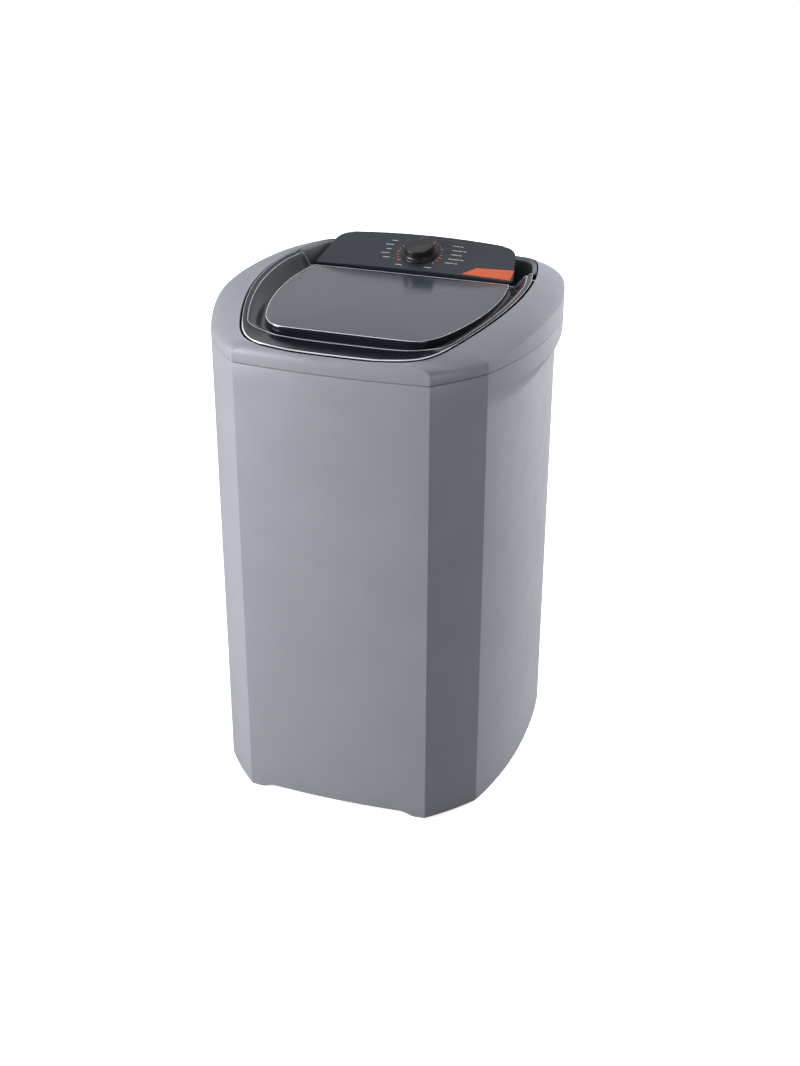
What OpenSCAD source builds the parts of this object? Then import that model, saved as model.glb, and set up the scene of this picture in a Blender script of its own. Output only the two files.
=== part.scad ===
// Top load washing machine with a smoked lid, a slanted control panel and one wash timer.
// Origin: centre of the footprint on the floor. +Z is up and the front faces -Y.

/* [Cabinet] */
// Width across the band under the top ring
cabinet_w = 622; // [612:1:632]
// Depth from the front bulge to the back
cabinet_d = 622; // [612:1:632]
// Height of the seam between the cabinet and the top ring
seam_z = 885; // [875:1:895]
// Wall thickness of the moulded shells
wall = 3.2; // [2.6:0.1:3.6]
// How far the side walls stand back under the top band
side_recess = 21; // [16:1:26]

/* [Wash tub] */
// Inside radius of the tub at its mouth
tub_r = 246; // [236:1:248]
// Height of the tub's underside above the floor
tub_z = 330; // [320:1:340]
// Radius of the agitator
agitator_r = 165; // [150:1:180]

/* [Drive] */
// Pitch radius of the pulley under the tub
driven_r = 112; // [100:1:118]
// Pitch radius of the pulley on the motor
motor_pulley_r = 28; // [24:1:32]

/* [Controls] */
// Slope of the control panel from the horizontal
panel_tilt = 18.2; // [16:0.1:20]
// Radius of the timer knob's grip
knob_r = 28.5; // [26:0.5:30]

/* [Hidden] */

$fn = 64;
eps = 0.01;

// Colours
shell_grey = [0.60, 0.61, 0.64];
panel_grey = [0.25, 0.28, 0.30];
smoke = [0.36, 0.38, 0.42];
black = [0.10, 0.10, 0.11];
orange = [0.90, 0.40, 0.24];
steel = [0.70, 0.71, 0.72];
bronze = [0.68, 0.52, 0.30];
tub_white = [0.86, 0.87, 0.88];

// ---- outlines and lofts ----

// Steps along the front, the front corner facet, the side, the rear corner and the back
steps = [5, 5, 16, 8, 5];
half_w = cabinet_w / 2;
half_d = cabinet_d / 2;
// Half width and bulge of the flat front, and where the corner facet meets the side
front_x = 177;
front_bulge = 10;
facet_x = half_w - 57.4;
facet_y = 95.5 - half_d;
facet_bulge = 3;
side_mid_y = 34;
rear_corner_y = 174;
back_x = 150;

function bezier(a, b, c, d, t) =
    pow(1 - t, 3) * a + 3 * t * pow(1 - t, 2) * b + 3 * t * t * (1 - t) * c + t * t * t * d;
// x of the side at depth y, for a side that is w wide at its middle and curves by the power p
function side_x(w, p, y) = w - (w - facet_x) * pow(abs(y - side_mid_y) / (side_mid_y - facet_y), p);
// Right half of a cabinet section, from the middle of the front to the middle of the back
function cabinet_half(w, p) = concat(
    [for (i = [0 : steps[0] - 1]) let (x = front_x * i / steps[0])
        [x, -half_d + front_bulge * pow(x / front_x, 2)]],
    [for (i = [0 : steps[1] - 1]) let (t = i / steps[1], bulge = facet_bulge * 4 * t * (1 - t))
        [front_x + (facet_x - front_x) * t + 0.75 * bulge,
         (front_bulge - half_d) * (1 - t) + facet_y * t - 0.66 * bulge]],
    [for (i = [0 : steps[2] - 1]) let (y = facet_y + (rear_corner_y - facet_y) * i / steps[2])
        [side_x(w, p, y), y]],
    [for (i = [0 : steps[3] - 1]) let (x = side_x(w, p, rear_corner_y))
        bezier([x, rear_corner_y], [x - 21, rear_corner_y + 87], [back_x + 75, half_d - 3],
            [back_x, half_d - 1], i / steps[3])],
    [for (i = [0 : steps[4]]) let (t = 1 - i / steps[4])
        [back_x * t, half_d - t * t]]);
// The opening in the top ring: half width of its front, where its sides start and end, and its back
opening_front_x = 118;
opening_front_y = -298;
opening_side_y = [-218, 200];
opening_back = [172, 283.5];
function opening_x(y) = 250.5 - 0.00073 * pow(y - 55, 2);
// Right half of the opening
function opening_half() = let (front = [opening_front_x, opening_front_y + 4]) concat(
    [for (i = [0 : steps[0] - 1]) let (x = front[0] * i / steps[0])
        [x, opening_front_y + 4 * pow(x / front[0], 2)]],
    [for (i = [0 : steps[1] - 1])
        bezier(front, front + [40, 3], front + [62, 32],
            [opening_x(opening_side_y[0]), opening_side_y[0]], i / steps[1])],
    [for (i = [0 : steps[2] - 1])
        let (y = opening_side_y[0] + (opening_side_y[1] - opening_side_y[0]) * i / steps[2])
        [opening_x(y), y]],
    [for (i = [0 : steps[3] - 1])
        bezier([opening_x(opening_side_y[1]), opening_side_y[1]], opening_back + [50, -25.5],
            opening_back + [40, -2.5], opening_back - [0, 0.5], i / steps[3])],
    [for (i = [0 : steps[4]]) [opening_back[0] * (1 - i / steps[4]), opening_back[1]]]);
// The whole loop of a half outline, anticlockwise from above
function loop(half) = concat(half, [for (i = [len(half) - 2 : -1 : 1]) [-half[i][0], half[i][1]]]);
// A loop moved outwards by g
function grow(p, g) = [for (i = [0 : len(p) - 1])
    let (n = len(p), t = p[(i + 1) % n] - p[(i + n - 1) % n]) p[i] + g * [t[1], -t[0]] / norm(t)];
// A loop part of the way from one loop to another
function between(p, q, t) = [for (i = [0 : len(p) - 1]) p[i] * (1 - t) + q[i] * t];
function at_z(p, z) = [for (q = p) [q[0], q[1], z]];
// A loop moved inwards, by front ahead of the lid's hinge and by back beside the console
function inset(p, front, back) = [for (i = [0 : len(p) - 1])
    let (n = len(p), t = p[(i + 1) % n] - p[(i + n - 1) % n],
        g = front + (back - front) * smooth((p[i][1] - 128) / 16))
    p[i] - g * [t[1], -t[0]] / norm(t)];

// Skin over rows of points, joined end to end into a tube or closed by two flat caps
module loft(rows, tube = true) {
    n = len(rows[0]);
    last = len(rows) - 1;
    points = [for (r = rows) for (q = r) q];
    walls = [for (r = [0 : tube ? last : last - 1]) for (i = [0 : n - 1])
        let (s = (r + 1) % len(rows), j = (i + 1) % n,
            a = r * n + i, b = s * n + i, c = s * n + j, d = r * n + j)
        for (f = [[a, b, c], [a, c, d]]) f];
    caps = tube ? [] : [[for (i = [0 : n - 1]) i], [for (i = [n - 1 : -1 : 0]) last * n + i]];
    polyhedron(points, concat(walls, caps), convexity = 6);
}

// Height of the opening's rim, which rises from the front and levels off towards the back
function rim_z(y) = seam_z + 56.5 + 0.0087 * (y - 24) - 0.000185 * pow(y - 24, 2);
// A soft step from 0 to 1
function smooth(t) = let (u = min(1, max(0, t))) u * u * (3 - 2 * u);
// Height of the crease along the top ring's skirt
function crease_z(y) = seam_z + 18 + 17 * smooth((y + 250) / 230);

seam_loop = loop(cabinet_half(half_w, 2));
body_loop = loop(cabinet_half(half_w - side_recess, 2.2));
opening_loop = loop(opening_half());

// ---- outer shells ----

band_h = 33;
cove_h = 42;
arch_h = 9;
// Bottom edge of the cabinet: low at the corners and arched across the front and back
function foot_edge(q) =
    3 + arch_h * (abs(q[1]) > half_d - 12 ? 1 - smooth((abs(q[0]) - 128) / 30) : 0);

module cabinet() {
    cove = [0, 0.12, 0.5, 0.88, 1];
    outer = concat([[for (q = grow(body_loop, -2)) [q[0], q[1], foot_edge(q)]],
            [for (q = body_loop) [q[0], q[1], foot_edge(q) + 4]]],
        [for (i = [0 : 4]) at_z(between(body_loop, seam_loop, cove[i]),
            seam_z - band_h - cove_h + cove_h * i / 4)],
        [at_z(seam_loop, seam_z - 1), at_z(grow(seam_loop, -0.8), seam_z)]);
    inner = concat([at_z(grow(seam_loop, -wall), seam_z)],
        [for (i = [4 : -1 : 0]) at_z(grow(between(body_loop, seam_loop, cove[i]), -wall),
            seam_z - band_h - cove_h - 1 + cove_h * i / 4)],
        [[for (q = grow(body_loop, -wall)) [q[0], q[1], foot_edge(q) + 3]]]);
    color(shell_grey) difference() {
        union() {
            loft(concat(outer, inner));
            for (p = base_screw_places) translate([p[0], p[1], plate_z + plate_t])
                cylinder(r = 8, h = 34);
            translate([spigot_x - pocket_w / 2 - wall, half_d - pocket_d - wall,
                spigot_z - pocket_w / 2 - wall])
                cube([pocket_w + 2 * wall, pocket_d + wall - 0.5, pocket_w + 2 * wall]);
        }
        for (p = base_screw_places) translate([p[0], p[1], plate_z])
            cylinder(r = screw_r + 0.05, h = 26);
        translate([0, half_d, cover_z]) cube([cover_w - 24, 40, cover_h - 24], center = true);
        for (p = cover_screw_places) translate([p[0], half_d + 20, p[1]]) rotate([90, 0, 0])
            cylinder(r = screw_r + 0.05, h = 40);
        translate([gland_x, half_d + 20, gland_z]) rotate([90, 0, 0]) cylinder(r = 9, h = 40);
        translate([spigot_x, half_d, spigot_z]) cube([pocket_w, 2 * pocket_d, pocket_w], center = true);
        translate([spigot_x, half_d, spigot_z]) rotate([90, 0, 0]) cylinder(r = 16.2, h = 60);
        for (x = ring_screw_x) translate([x, half_d + 20, ring_screw_z]) rotate([90, 0, 0])
            cylinder(r = screw_r + 0.05, h = 40);
    }
}

ledge_drop = 13;
ledge_w = 9;
module top_ring() {
    n = len(seam_loop);
    // How sharp the crease is: 0 on the rounded front, 1 along the side
    function sharp(q) = smooth((q[1] + half_d - 9) / 45);
    function crown(g, t) = [for (i = [0 : n - 1]) let (
            o = grow(seam_loop, g)[i], e = grow(opening_loop, -g / 3)[i],
            c = [o[0], o[1], crease_z(o[1]) + g], r = [e[0], e[1], rim_z(e[1]) + g],
            k = [o[0] + (e[0] - o[0]) * 0.12, o[1] + (e[1] - o[1]) * 0.12,
                c[2] + (r[2] - c[2]) * (0.82 - 0.5 * sharp(o))])
        pow(1 - t, 2) * c + 2 * t * (1 - t) * k + t * t * r];
    inner_edge = inset(opening_loop, ledge_w, 1.6);
    rows = concat(
        [at_z(seam_loop, seam_z + 0.8)],
        [for (t = [0, 0.12, 0.28, 0.48, 0.74, 1]) crown(0, t)],
        [[for (q = grow(opening_loop, -0.8)) [q[0], q[1], rim_z(q[1]) - ledge_drop]],
         [for (q = inner_edge) [q[0], q[1], rim_z(q[1]) - ledge_drop]],
         [for (q = inner_edge) [q[0], q[1], rim_z(q[1]) - ledge_drop - wall]],
         [for (q = grow(opening_loop, 2.2)) [q[0], q[1], rim_z(q[1]) - ledge_drop - wall]]],
        [for (t = [0.9, 0.6, 0.3, 0]) crown(-wall, t)],
        [at_z(grow(seam_loop, -wall), seam_z + 0.8)]);
    color(shell_grey) difference() {
        union() {
            loft(rows);
            for (x = ring_screw_x) translate([x - 12, half_d - wall - 9.5, seam_z - 20])
                cube([24, 6, 32]);
            for (x = ring_screw_x) translate([x - 12, half_d - wall - 9.5, seam_z + 4])
                cube([24, 11, 8]);
        }
        for (x = ring_screw_x) translate([x, half_d + 20, ring_screw_z]) rotate([90, 0, 0])
            cylinder(r = ring_screw_r + 0.05, h = 40);
        for (s = [-1, 1]) on_hinge(s * (pin_x + 9)) cylinder(r = pin_r + 0.02, h = 12, center = true);
    }
}

// Collar that closes the space between the ring's ledge and the round mouth of the tub
module tub_collar() {
    n = len(seam_loop);
    mouth = inset(opening_loop, ledge_w + 1.5, 0);
    circle = [for (q = mouth) let (u = q - [0, tub_y]) [0, tub_y] + u / norm(u) * (tub_r - 4)];
    // A row t of the way in to the tub's mouth, d above the funnel's underside
    function row(g, t, z, d) = [for (i = [0 : n - 1]) let (
            q = grow(mouth, g)[i] * (1 - t) + circle[i] * t)
        [q[0], q[1], (rim_z(mouth[i][1]) - ledge_drop - wall - 1) * (1 - z) + (tub_top + 1.5) * z + d]];
    color(panel_grey) loft([row(0, 1, 1, 0), row(0, 0.85, 0.97, 0), row(0, 0, 0.74, 0),
        row(0, 0, 0, 0), row(-2.5, 0, 0, 0), row(-2.5, 0.04, 0.7, 1), row(-2.5, 0.85, 0.93, 1.4),
        row(0, 1, 1, 2.5)]);
}

plate_z = 14;
plate_t = 5;
foot_places = [[150, -270], [-150, -270], [170, 262], [-170, 262]];
base_screw_places = [for (s = [-1, 1])
    for (p = [[105, -half_d + 13], [half_w - side_recess - 10.5, 20], [100, half_d - 10.5]])
        [s * p[0], p[1]]];
module base_plate() {
    color(black) difference() {
        union() {
            translate([0, 0, plate_z]) linear_extrude(plate_t) polygon(grow(body_loop, -wall - 0.6));
            for (s = [-1, 1]) translate([s * 90 - 4, -270, plate_z + plate_t - eps]) cube([8, 530, 22]);
            for (y = [-150, 150]) translate([-240, y - 4, plate_z + plate_t - eps]) cube([480, 8, 22]);
        }
        for (p = base_screw_places) translate([p[0], p[1], 0]) cylinder(r = 2.6, h = 60);
        for (p = foot_places) translate([p[0], p[1], 0]) cylinder(r = 6.05, h = 60);
        for (p = leg_places) translate([p[0], p[1], plate_z + plate_t]) cylinder(r = 16.5, h = 60);
        translate([0, tub_y, 0]) cylinder(r = 70, h = 60);
    }
}

module foot(i) {
    color(black) translate([foot_places[i][0], foot_places[i][1], 0]) {
        cylinder(r1 = 20, r2 = 24, h = 4);
        translate([0, 0, 4 - eps]) cylinder(r = 24, h = plate_z - 4);
        translate([0, 0, plate_z - 1]) cylinder(r = 6, h = plate_t + 3);
        translate([0, 0, plate_z + plate_t + 0.2]) cylinder(r1 = 8, r2 = 5, h = 6);
    }
}

// ---- lid ----

lid_back_y = 147;
hinge_y = lid_back_y;
hinge_z = seam_z + 45;
boss_x = 230.7;
boss_w = 10;
boss_r = 6;
pin_r = 3;
pin_l = 20;
pin_x = 237;
lid_gap = 4;
lid_t = 3;
function island_z(y) = seam_z + 39 - 0.0277 * (y - 24);
wing_y = 166;
// Children turned to lie along the hinge line, at x
module on_hinge(x) translate([x, hinge_y, hinge_z]) rotate([0, 90, 0]) children();
// Half width of the lid's back edge between the wings
lid_back_x = 199;
// x of the lid's side at depth y, drawn in a little towards the hinge
function lid_x(y) = opening_x(y) - lid_gap - 3 * smooth((y - 110) / 35);
// Right half of the lid's outer edge, with the wings beside the control panel
function lid_half() = let (side = [opening_side_y[0] + 2, wing_y - 8]) concat(
    [for (i = [0 : steps[0] + steps[1] - 1]) grow(opening_loop, -lid_gap)[i]],
    [for (i = [0 : steps[2] - 1]) let (y = side[0] + (side[1] - side[0]) * i / steps[2])
        [lid_x(y), y]],
    [for (i = [0 : steps[3] - 1])
        bezier([lid_x(side[1]), side[1]], [lid_back_x + 33, wing_y + 6],
            [lid_back_x + 13, wing_y - 18], [lid_back_x, lid_back_y + 1], i / steps[3])],
    [for (i = [0 : steps[4]]) [lid_back_x * (1 - i / steps[4]), lid_back_y]]);
// Right half of the raised island's edge
function island_half() = concat(
    [for (i = [0 : steps[0] - 1]) [110 * i / steps[0], -226 + pow(i / steps[0], 2)]],
    [for (i = [0 : steps[1] - 1])
        bezier([110, -225], [140, -224], [148, -208], [163, -180], i / steps[1])],
    [for (i = [0 : steps[2] - 1])
        bezier([163, -180], [190, -110], [214, 0], [198, 120], i / steps[2])],
    [for (i = [0 : steps[3] - 1]) let (t = i / steps[3]) [198 - 4 * t, 120 + 21 * t]],
    [for (i = [0 : steps[4]]) [194 * (1 - i / steps[4]), 141]]);
lid_loop = loop(lid_half());
island_loop = loop(island_half());
// The island's face swells a little towards its middle
island_crown = 4;
island_middle = [for (q = island_loop) [0, -40]];
// Height of the flange at the foot of the island's wall
function gutter_z(y) = island_z(y) - 17.5 + 9.5 * smooth((y + 226) / 300);

module lid() {
    n = len(lid_loop);
    foot_loop = grow(island_loop, 2.5);
    // The crest stays near the lip along the sides and meets the island's foot at the front
    function ahead(i) = smooth((-150 - lid_loop[i][1]) / 110);
    // A row of the flange, t of the way in from the lid's edge and f of the way down, dropped by d
    function flange(t, f, d) = [for (i = [0 : n - 1]) let (
            q = lid_loop[i] * (1 - t) + foot_loop[i] * t, foot = gutter_z(island_loop[i][1]),
            rise = lid_loop[i][1] < 100 ? 1 : smooth((abs(lid_loop[i][0]) - lid_back_x - 4) / 30),
            lip = foot + 3 + (rim_z(lid_loop[i][1]) - foot - 3) * rise)
        [q[0], q[1], lip * (1 - f) + foot * f - d]];
    // A row of the flange's face, a of the way from the lip to the crest and b on to the foot
    function face(a, b) = [for (i = [0 : n - 1]) let (
            crest_t = 0.32 + 0.58 * ahead(i), crest_f = 0.12 + 0.38 * ahead(i))
        flange(0.06 + (crest_t - 0.06) * a + (1 - crest_t) * b,
            crest_f * a + (0.98 - crest_f) * smooth(b * 1.05), 0.2)[i]];
    function island(g, d) = [for (q = grow(island_loop, g)) [q[0], q[1], island_z(q[1]) - d]];
    rows = concat(
        [island(-4.5, lid_t), [for (q = grow(island_loop, -2.8)) [q[0], q[1], gutter_z(q[1]) - 1]],
         flange(0.94, 1, lid_t), flange(0.6, 0.86, lid_t), flange(0.3, 0.3, lid_t)],
        [flange(0.03, 0, 6), flange(0, 0, 5), flange(0, 0, 1.4), flange(0.03, 0, 0),
         face(0.4, 0), face(1, 0), face(1, 0.3), face(1, 0.7), face(1, 1)],
        [[for (q = grow(island_loop, 0.6)) [q[0], q[1], island_z(q[1]) - 2.4]],
         island(-0.6, 0.5), island(-2.4, 0)],
        [for (t = [0.3, 0.6]) [for (q = between(grow(island_loop, -2.4), island_middle, t))
            [q[0], q[1], island_z(q[1]) + island_crown * (1 - pow(1 - t, 2))]]]);
    color(smoke) difference() {
        union() {
            loft(rows, tube = false);
            for (s = [-1, 1]) on_hinge(s * boss_x) cylinder(r = boss_r, h = boss_w, center = true);
        }
        for (s = [-1, 1]) on_hinge(s * (boss_x + 4))
            cylinder(r = pin_r + 0.05, h = 2 * boss_w, center = true);
    }
}

module hinge_pin(s) {
    color(steel) on_hinge(s * pin_x) cylinder(r = pin_r, h = pin_l, center = true);
}

bumper_place = [138, -286.5];
module lid_bumper(s) {
    spot = [s * bumper_place[0], bumper_place[1], rim_z(bumper_place[1]) - ledge_drop];
    color(black) translate(spot) {
        translate([0, 0, -2]) cylinder(r = 2, h = 3);
        cylinder(r = 4, h = 6);
    }
}

// ---- controls ----

panel_y = 152.8;
panel_z = seam_z + 37.1;
panel_l = 109.2;
panel_front_x = 196.9;
panel_back_x = 181.1;
panel_t = 4;
crown_r = 3600;
knob_v = 54.6;
// Children placed on the panel: X across it, Y up its slope and Z out of it
module on_panel(v = 0) translate([0, panel_y, panel_z]) rotate([panel_tilt, 0, 0])
    translate([0, v, 0]) children();
// Right half of the panel's outline, with a rounded back corner and a bowed back edge
function panel_half(g) = let (bow = 8, r = 30, fx = panel_front_x + g, bx = panel_back_x + g) concat(
    [[0, -g], [fx - 5, -g], [fx - 1, 1.4 - g], [fx, 6 - g]],
    [for (a = [0 : 10 : 80]) [bx + 1.5 - r * (1 - cos(a)), panel_l + g - r * (1 - sin(a)) - 2]],
    [for (x = [bx - r : -30 : 30]) [x, panel_l + g - 2 + bow * (1 - pow(x / (bx - r + 30), 2))]],
    [[0, panel_l + g - 2 + bow]]);
module panel_plan(g = 0) polygon(loop(panel_half(g)));
// A sheet t thick with the panel's crown, its top d below the panel's face
module crowned(d, t) rotate([90, 0, 0]) translate([0, 0, -panel_l - 20])
    linear_extrude(panel_l + 40) polygon(concat(
        [for (x = [-220 : 20 : 220]) [x, 5 - x * x / 2 / crown_r - d]],
        [for (x = [220 : -20 : -220]) [x, 5 - x * x / 2 / crown_r - d - t]]));

module control_panel() {
    color(panel_grey) on_panel() difference() {
        intersection() {
            translate([0, 0, -20]) linear_extrude(40) panel_plan();
            crowned(0, panel_t);
        }
        translate([0, knob_v, -20]) cylinder(r = 6, h = 40);
    }
}

// Slanted orange plate in the panel's front right corner
badge_front = 4;
badge_x = [98, panel_front_x - 5];
module panel_badge() {
    color(orange) on_panel() intersection() {
        translate([0, 0, -20]) linear_extrude(40)
            polygon([[badge_x[0], badge_front], [badge_x[1], badge_front],
                [badge_x[1], badge_front + 32], [badge_x[0] + 22, badge_front + 23]]);
        crowned(-1, 0.98);
    }
}

console_floor_z = seam_z - 1;
console_wall = 3;
console_back_y = 276.5;
// The rim round the back of the opening, which carries on the line of the lid's wings
console_rim_y = wing_y + 4;
console_rim_gap = 2.6;
console_rim_w = 9;
console_rim_drop = 1.2;
module console_rim() {
    out = -console_rim_gap;
    in = out - console_rim_w;
    function row(g, d) = [for (q = grow(opening_loop, g)) [q[0], q[1], rim_z(q[1]) - d]];
    intersection() {
        loft([row(out, console_rim_drop + 2.6), row(out, console_rim_drop), row(in + 2, console_rim_drop + 2),
            row(in + 0.5, console_rim_drop + 3.4), at_z(grow(opening_loop, in), console_floor_z + 1),
            at_z(grow(opening_loop, in + 2.4), console_floor_z + 1), row(in + 2.4, console_rim_drop + 4.8)]);
        translate([-300, console_rim_y, 0]) cube([600, 200, 2000]);
    }
}
module console_housing() {
    well = inset(opening_loop, ledge_w + 6, 7);
    color(black) difference() {
        union() {
            console_rim();
            intersection() {
                on_panel() difference() {
                    translate([0, 0, -100]) linear_extrude(98) panel_plan(-1.2);
                    crowned(-20, 20 + panel_t + 0.05);
                }
                translate([-300, 0, console_floor_z]) cube([600, console_back_y, 200]);
            }
            translate([0, 0, console_floor_z]) linear_extrude(3) intersection() {
                polygon(well);
                translate([-300, lid_back_y + 8]) square([600, 200]);
            }
        }
        intersection() {
            on_panel() difference() {
                translate([0, 0, -120]) linear_extrude(120) panel_plan(-1.2 - console_wall);
                crowned(-20, 20 + panel_t + console_wall);
            }
            translate([-300, 0, console_floor_z - 1])
                cube([600, console_back_y - console_wall, 200]);
        }
        on_panel(knob_v) translate([0, 0, -30]) cylinder(r = 6.5, h = 40);
        for (x = [-26, 26]) on_panel(knob_v) translate([x, 0, -30]) cylinder(r = 1.6, h = 40);
    }
}

knob_base_r = 35.5;
knob_h = 20;
crown_top = 5;
shaft_r = 3;
module timer_knob() {
    color(black) on_panel(knob_v) translate([0, 0, crown_top + 0.5]) difference() {
        union() {
            rotate_extrude() polygon([[0, 0], [knob_base_r, 0], [knob_base_r, 1.2],
                [knob_base_r - 2.5, 3], [knob_r + 2.6, 4.4], [knob_r + 0.8, 7], [knob_r, knob_h - 2],
                [knob_r - 0.6, knob_h - 0.6], [knob_r - 2, knob_h], [0, knob_h]]);
            translate([-1.2, knob_r - 12, knob_h - eps]) cube([2.4, 10, 0.8]);
        }
        translate([0, 0, -1]) cylinder(r = shaft_r + 0.02, h = 13);
        difference() {
            translate([0, 0, -eps]) cylinder(r = knob_r - 4, h = 10);
            cylinder(r = 7, h = 10);
        }
    }
}

module timer_shaft() {
    color(steel) on_panel(knob_v) translate([0, 0, crown_top - 22]) cylinder(r = shaft_r, h = 32);
}

module timer_unit() {
    color(tub_white) on_panel(knob_v) translate([0, 0, crown_top - panel_t - console_wall - 0.1]) {
        difference() {
            union() {
                translate([-32, -24, -31]) cube([64, 48, 27]);
                translate([-33, -8, -4 - eps]) cube([66, 16, 1.5]);
                translate([0, 0, -4 - eps]) cylinder(r = 9, h = 4);
                for (x = [-26, 26]) translate([x, 0, -4]) cylinder(r = 4, h = 4);
            }
            translate([0, 0, -20]) cylinder(r = shaft_r + 0.06, h = 40);
            for (x = [-26, 26]) translate([x, 0, -8]) cylinder(r = 1.4, h = 20);
        }
        for (x = [-20 : 8 : 20]) translate([x - 1.5, -30, -26]) cube([3, 7, 0.8]);
    }
}

// ---- wash tub and agitator ----

tub_y = -10;
tub_top = seam_z - 19;
tub_t = 3;
floor_r = 178;
module at_tub(z = 0) translate([0, tub_y, z]) children();
leg_places = [for (a = [45 : 90 : 315]) [205 * cos(a), tub_y + 205 * sin(a)]];
sump_place = [0, tub_y + 150];

module wash_tub() {
    color(tub_white) at_tub() difference() {
        rotate_extrude($fn = 120) polygon([[24, tub_z + 14], [44, tub_z + 14], [60, tub_z + tub_t],
            [floor_r, tub_z + tub_t], [floor_r + 26, tub_z + 16], [floor_r + 44, tub_z + 48],
            [floor_r + 50, tub_z + 84], [tub_r - 3, tub_top - 40], [tub_r - 1, tub_top],
            [tub_r + 12, tub_top], [tub_r + 12, tub_top - 3], [tub_r + 2, tub_top - 3],
            [tub_r, tub_top - 42], [floor_r + 53, tub_z + 83], [floor_r + 46.5, tub_z + 46],
            [floor_r + 28, tub_z + 12.6], [floor_r + 1, tub_z], [58, tub_z], [42, tub_z + 11],
            [24, tub_z + 11]]);
        translate([0, 150, tub_z - 1]) cylinder(r = 20, h = 6);
        for (a = [45 : 90 : 315]) rotate(a) translate([150, 0, tub_z - 1]) cylinder(r = 3.2, h = 6);
    }
}

module tub_leg(i) {
    color(black) translate([leg_places[i][0], leg_places[i][1], plate_z + plate_t]) {
        difference() {
            cylinder(r = 16, h = tub_z - plate_z - plate_t + 4.3);
            translate([0, 0, 6]) cylinder(r = 13, h = tub_z);
        }
    }
}

agitator_z = tub_z + 8;
module agitator() {
    color(tub_white) at_tub(agitator_z) difference() {
        union() {
            rotate_extrude($fn = 96) polygon([[8, 98], [8, 2], [17, 2], [17, 84], [30, 84],
                [36, 72], [48, 39], [88, 18], [agitator_r - 20, 8], [agitator_r - 5, 5],
                [agitator_r - 4, 1], [agitator_r, 1], [agitator_r, 8], [agitator_r - 5, 11],
                [agitator_r - 20, 12], [90, 22], [52, 42], [40, 74], [34, 98]]);
            for (a = [0 : 60 : 300]) rotate(a) intersection() {
                translate([38, -5, 9.5]) cube([agitator_r - 56, 10, 60]);
                rotate([90, 0, 0]) translate([0, 0, -20]) linear_extrude(40) polygon([[30, 0],
                    [agitator_r - 19, 0], [agitator_r - 21, 20], [agitator_r - 42, 42], [80, 54],
                    [52, 68], [30, 68]]);
            }
        }
        translate([0, 0, 86]) cylinder(r = 27, h = 20);
        cylinder(r = agitator_shaft_r + 0.02, h = 100);
        for (a = [30 : 60 : 330]) rotate(a) translate([110, 0, -1]) cylinder(r = 4, h = 40);
    }
}

agitator_shaft_r = 10;
module agitator_cap() {
    color(panel_grey) at_tub(agitator_z + 98) rotate_extrude() polygon([[0, 5], [20, 3], [23, -0.2],
        [23, -10], [26.9, -10], [26.9, 0.2], [33, 0.2], [30, 5], [20, 9], [0, 11]]);
}

module agitator_screw() {
    color(steel) at_tub(agitator_z + 86.1) {
        difference() {
            cylinder(r = 11, h = 7);
            translate([0, 0, 3]) cylinder(r = 5, h = 8, $fn = 6);
        }
        translate([0, 0, -16]) cylinder(r = 3.98, h = 17);
    }
}

shaft_bottom = 62;
module agitator_shaft() {
    top = agitator_z + 86;
    color(steel) at_tub(shaft_bottom) difference() {
        union() {
            cylinder(r = 8, h = 40);
            translate([0, 0, 40 - eps]) cylinder(r = agitator_shaft_r, h = top - shaft_bottom - 40);
        }
        translate([0, 0, top - shaft_bottom - 20]) cylinder(r = 4, h = 30);
    }
}

housing_z = tub_z - 118;
module bearing_housing() {
    color(steel) at_tub() difference() {
        union() {
            translate([0, 0, tub_z - 8]) cylinder(r = 60, h = 7.9);
            translate([0, 0, housing_z]) cylinder(r = 26, h = tub_z - housing_z - 1);
            for (a = [0 : 60 : 300]) rotate(a) translate([22, -3, tub_z - 50]) cube([30, 6, 44]);
        }
        translate([0, 0, housing_z - 1]) cylinder(r = 12, h = 200);
        translate([0, 0, housing_z - 1]) cylinder(r = 15.02, h = 31);
        translate([0, 0, tub_z - 40]) cylinder(r = 15.02, h = 50);
        translate([0, 0, tub_z - 9.9]) cylinder(r = 20.02, h = 20);
        for (a = [30 : 120 : 270]) rotate(a) translate([50, 0, tub_z - 9]) cylinder(r = 3.05, h = 12);
    }
}

module bush(z) {
    color(bronze) at_tub(z) difference() {
        cylinder(r = 15, h = 29);
        translate([0, 0, -1]) cylinder(r = agitator_shaft_r + 0.05, h = 40);
    }
}

module shaft_seal() {
    color(black) at_tub(tub_z - 9.8) difference() {
        union() {
            cylinder(r = 20, h = 15);
            translate([0, 0, 15 - eps]) cylinder(r = 16, h = 3);
        }
        translate([0, 0, -1]) cylinder(r = agitator_shaft_r + 0.3, h = 40);
        translate([0, 0, 12]) cylinder(r = 13, h = 3);
    }
}

// ---- drive ----

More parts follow.
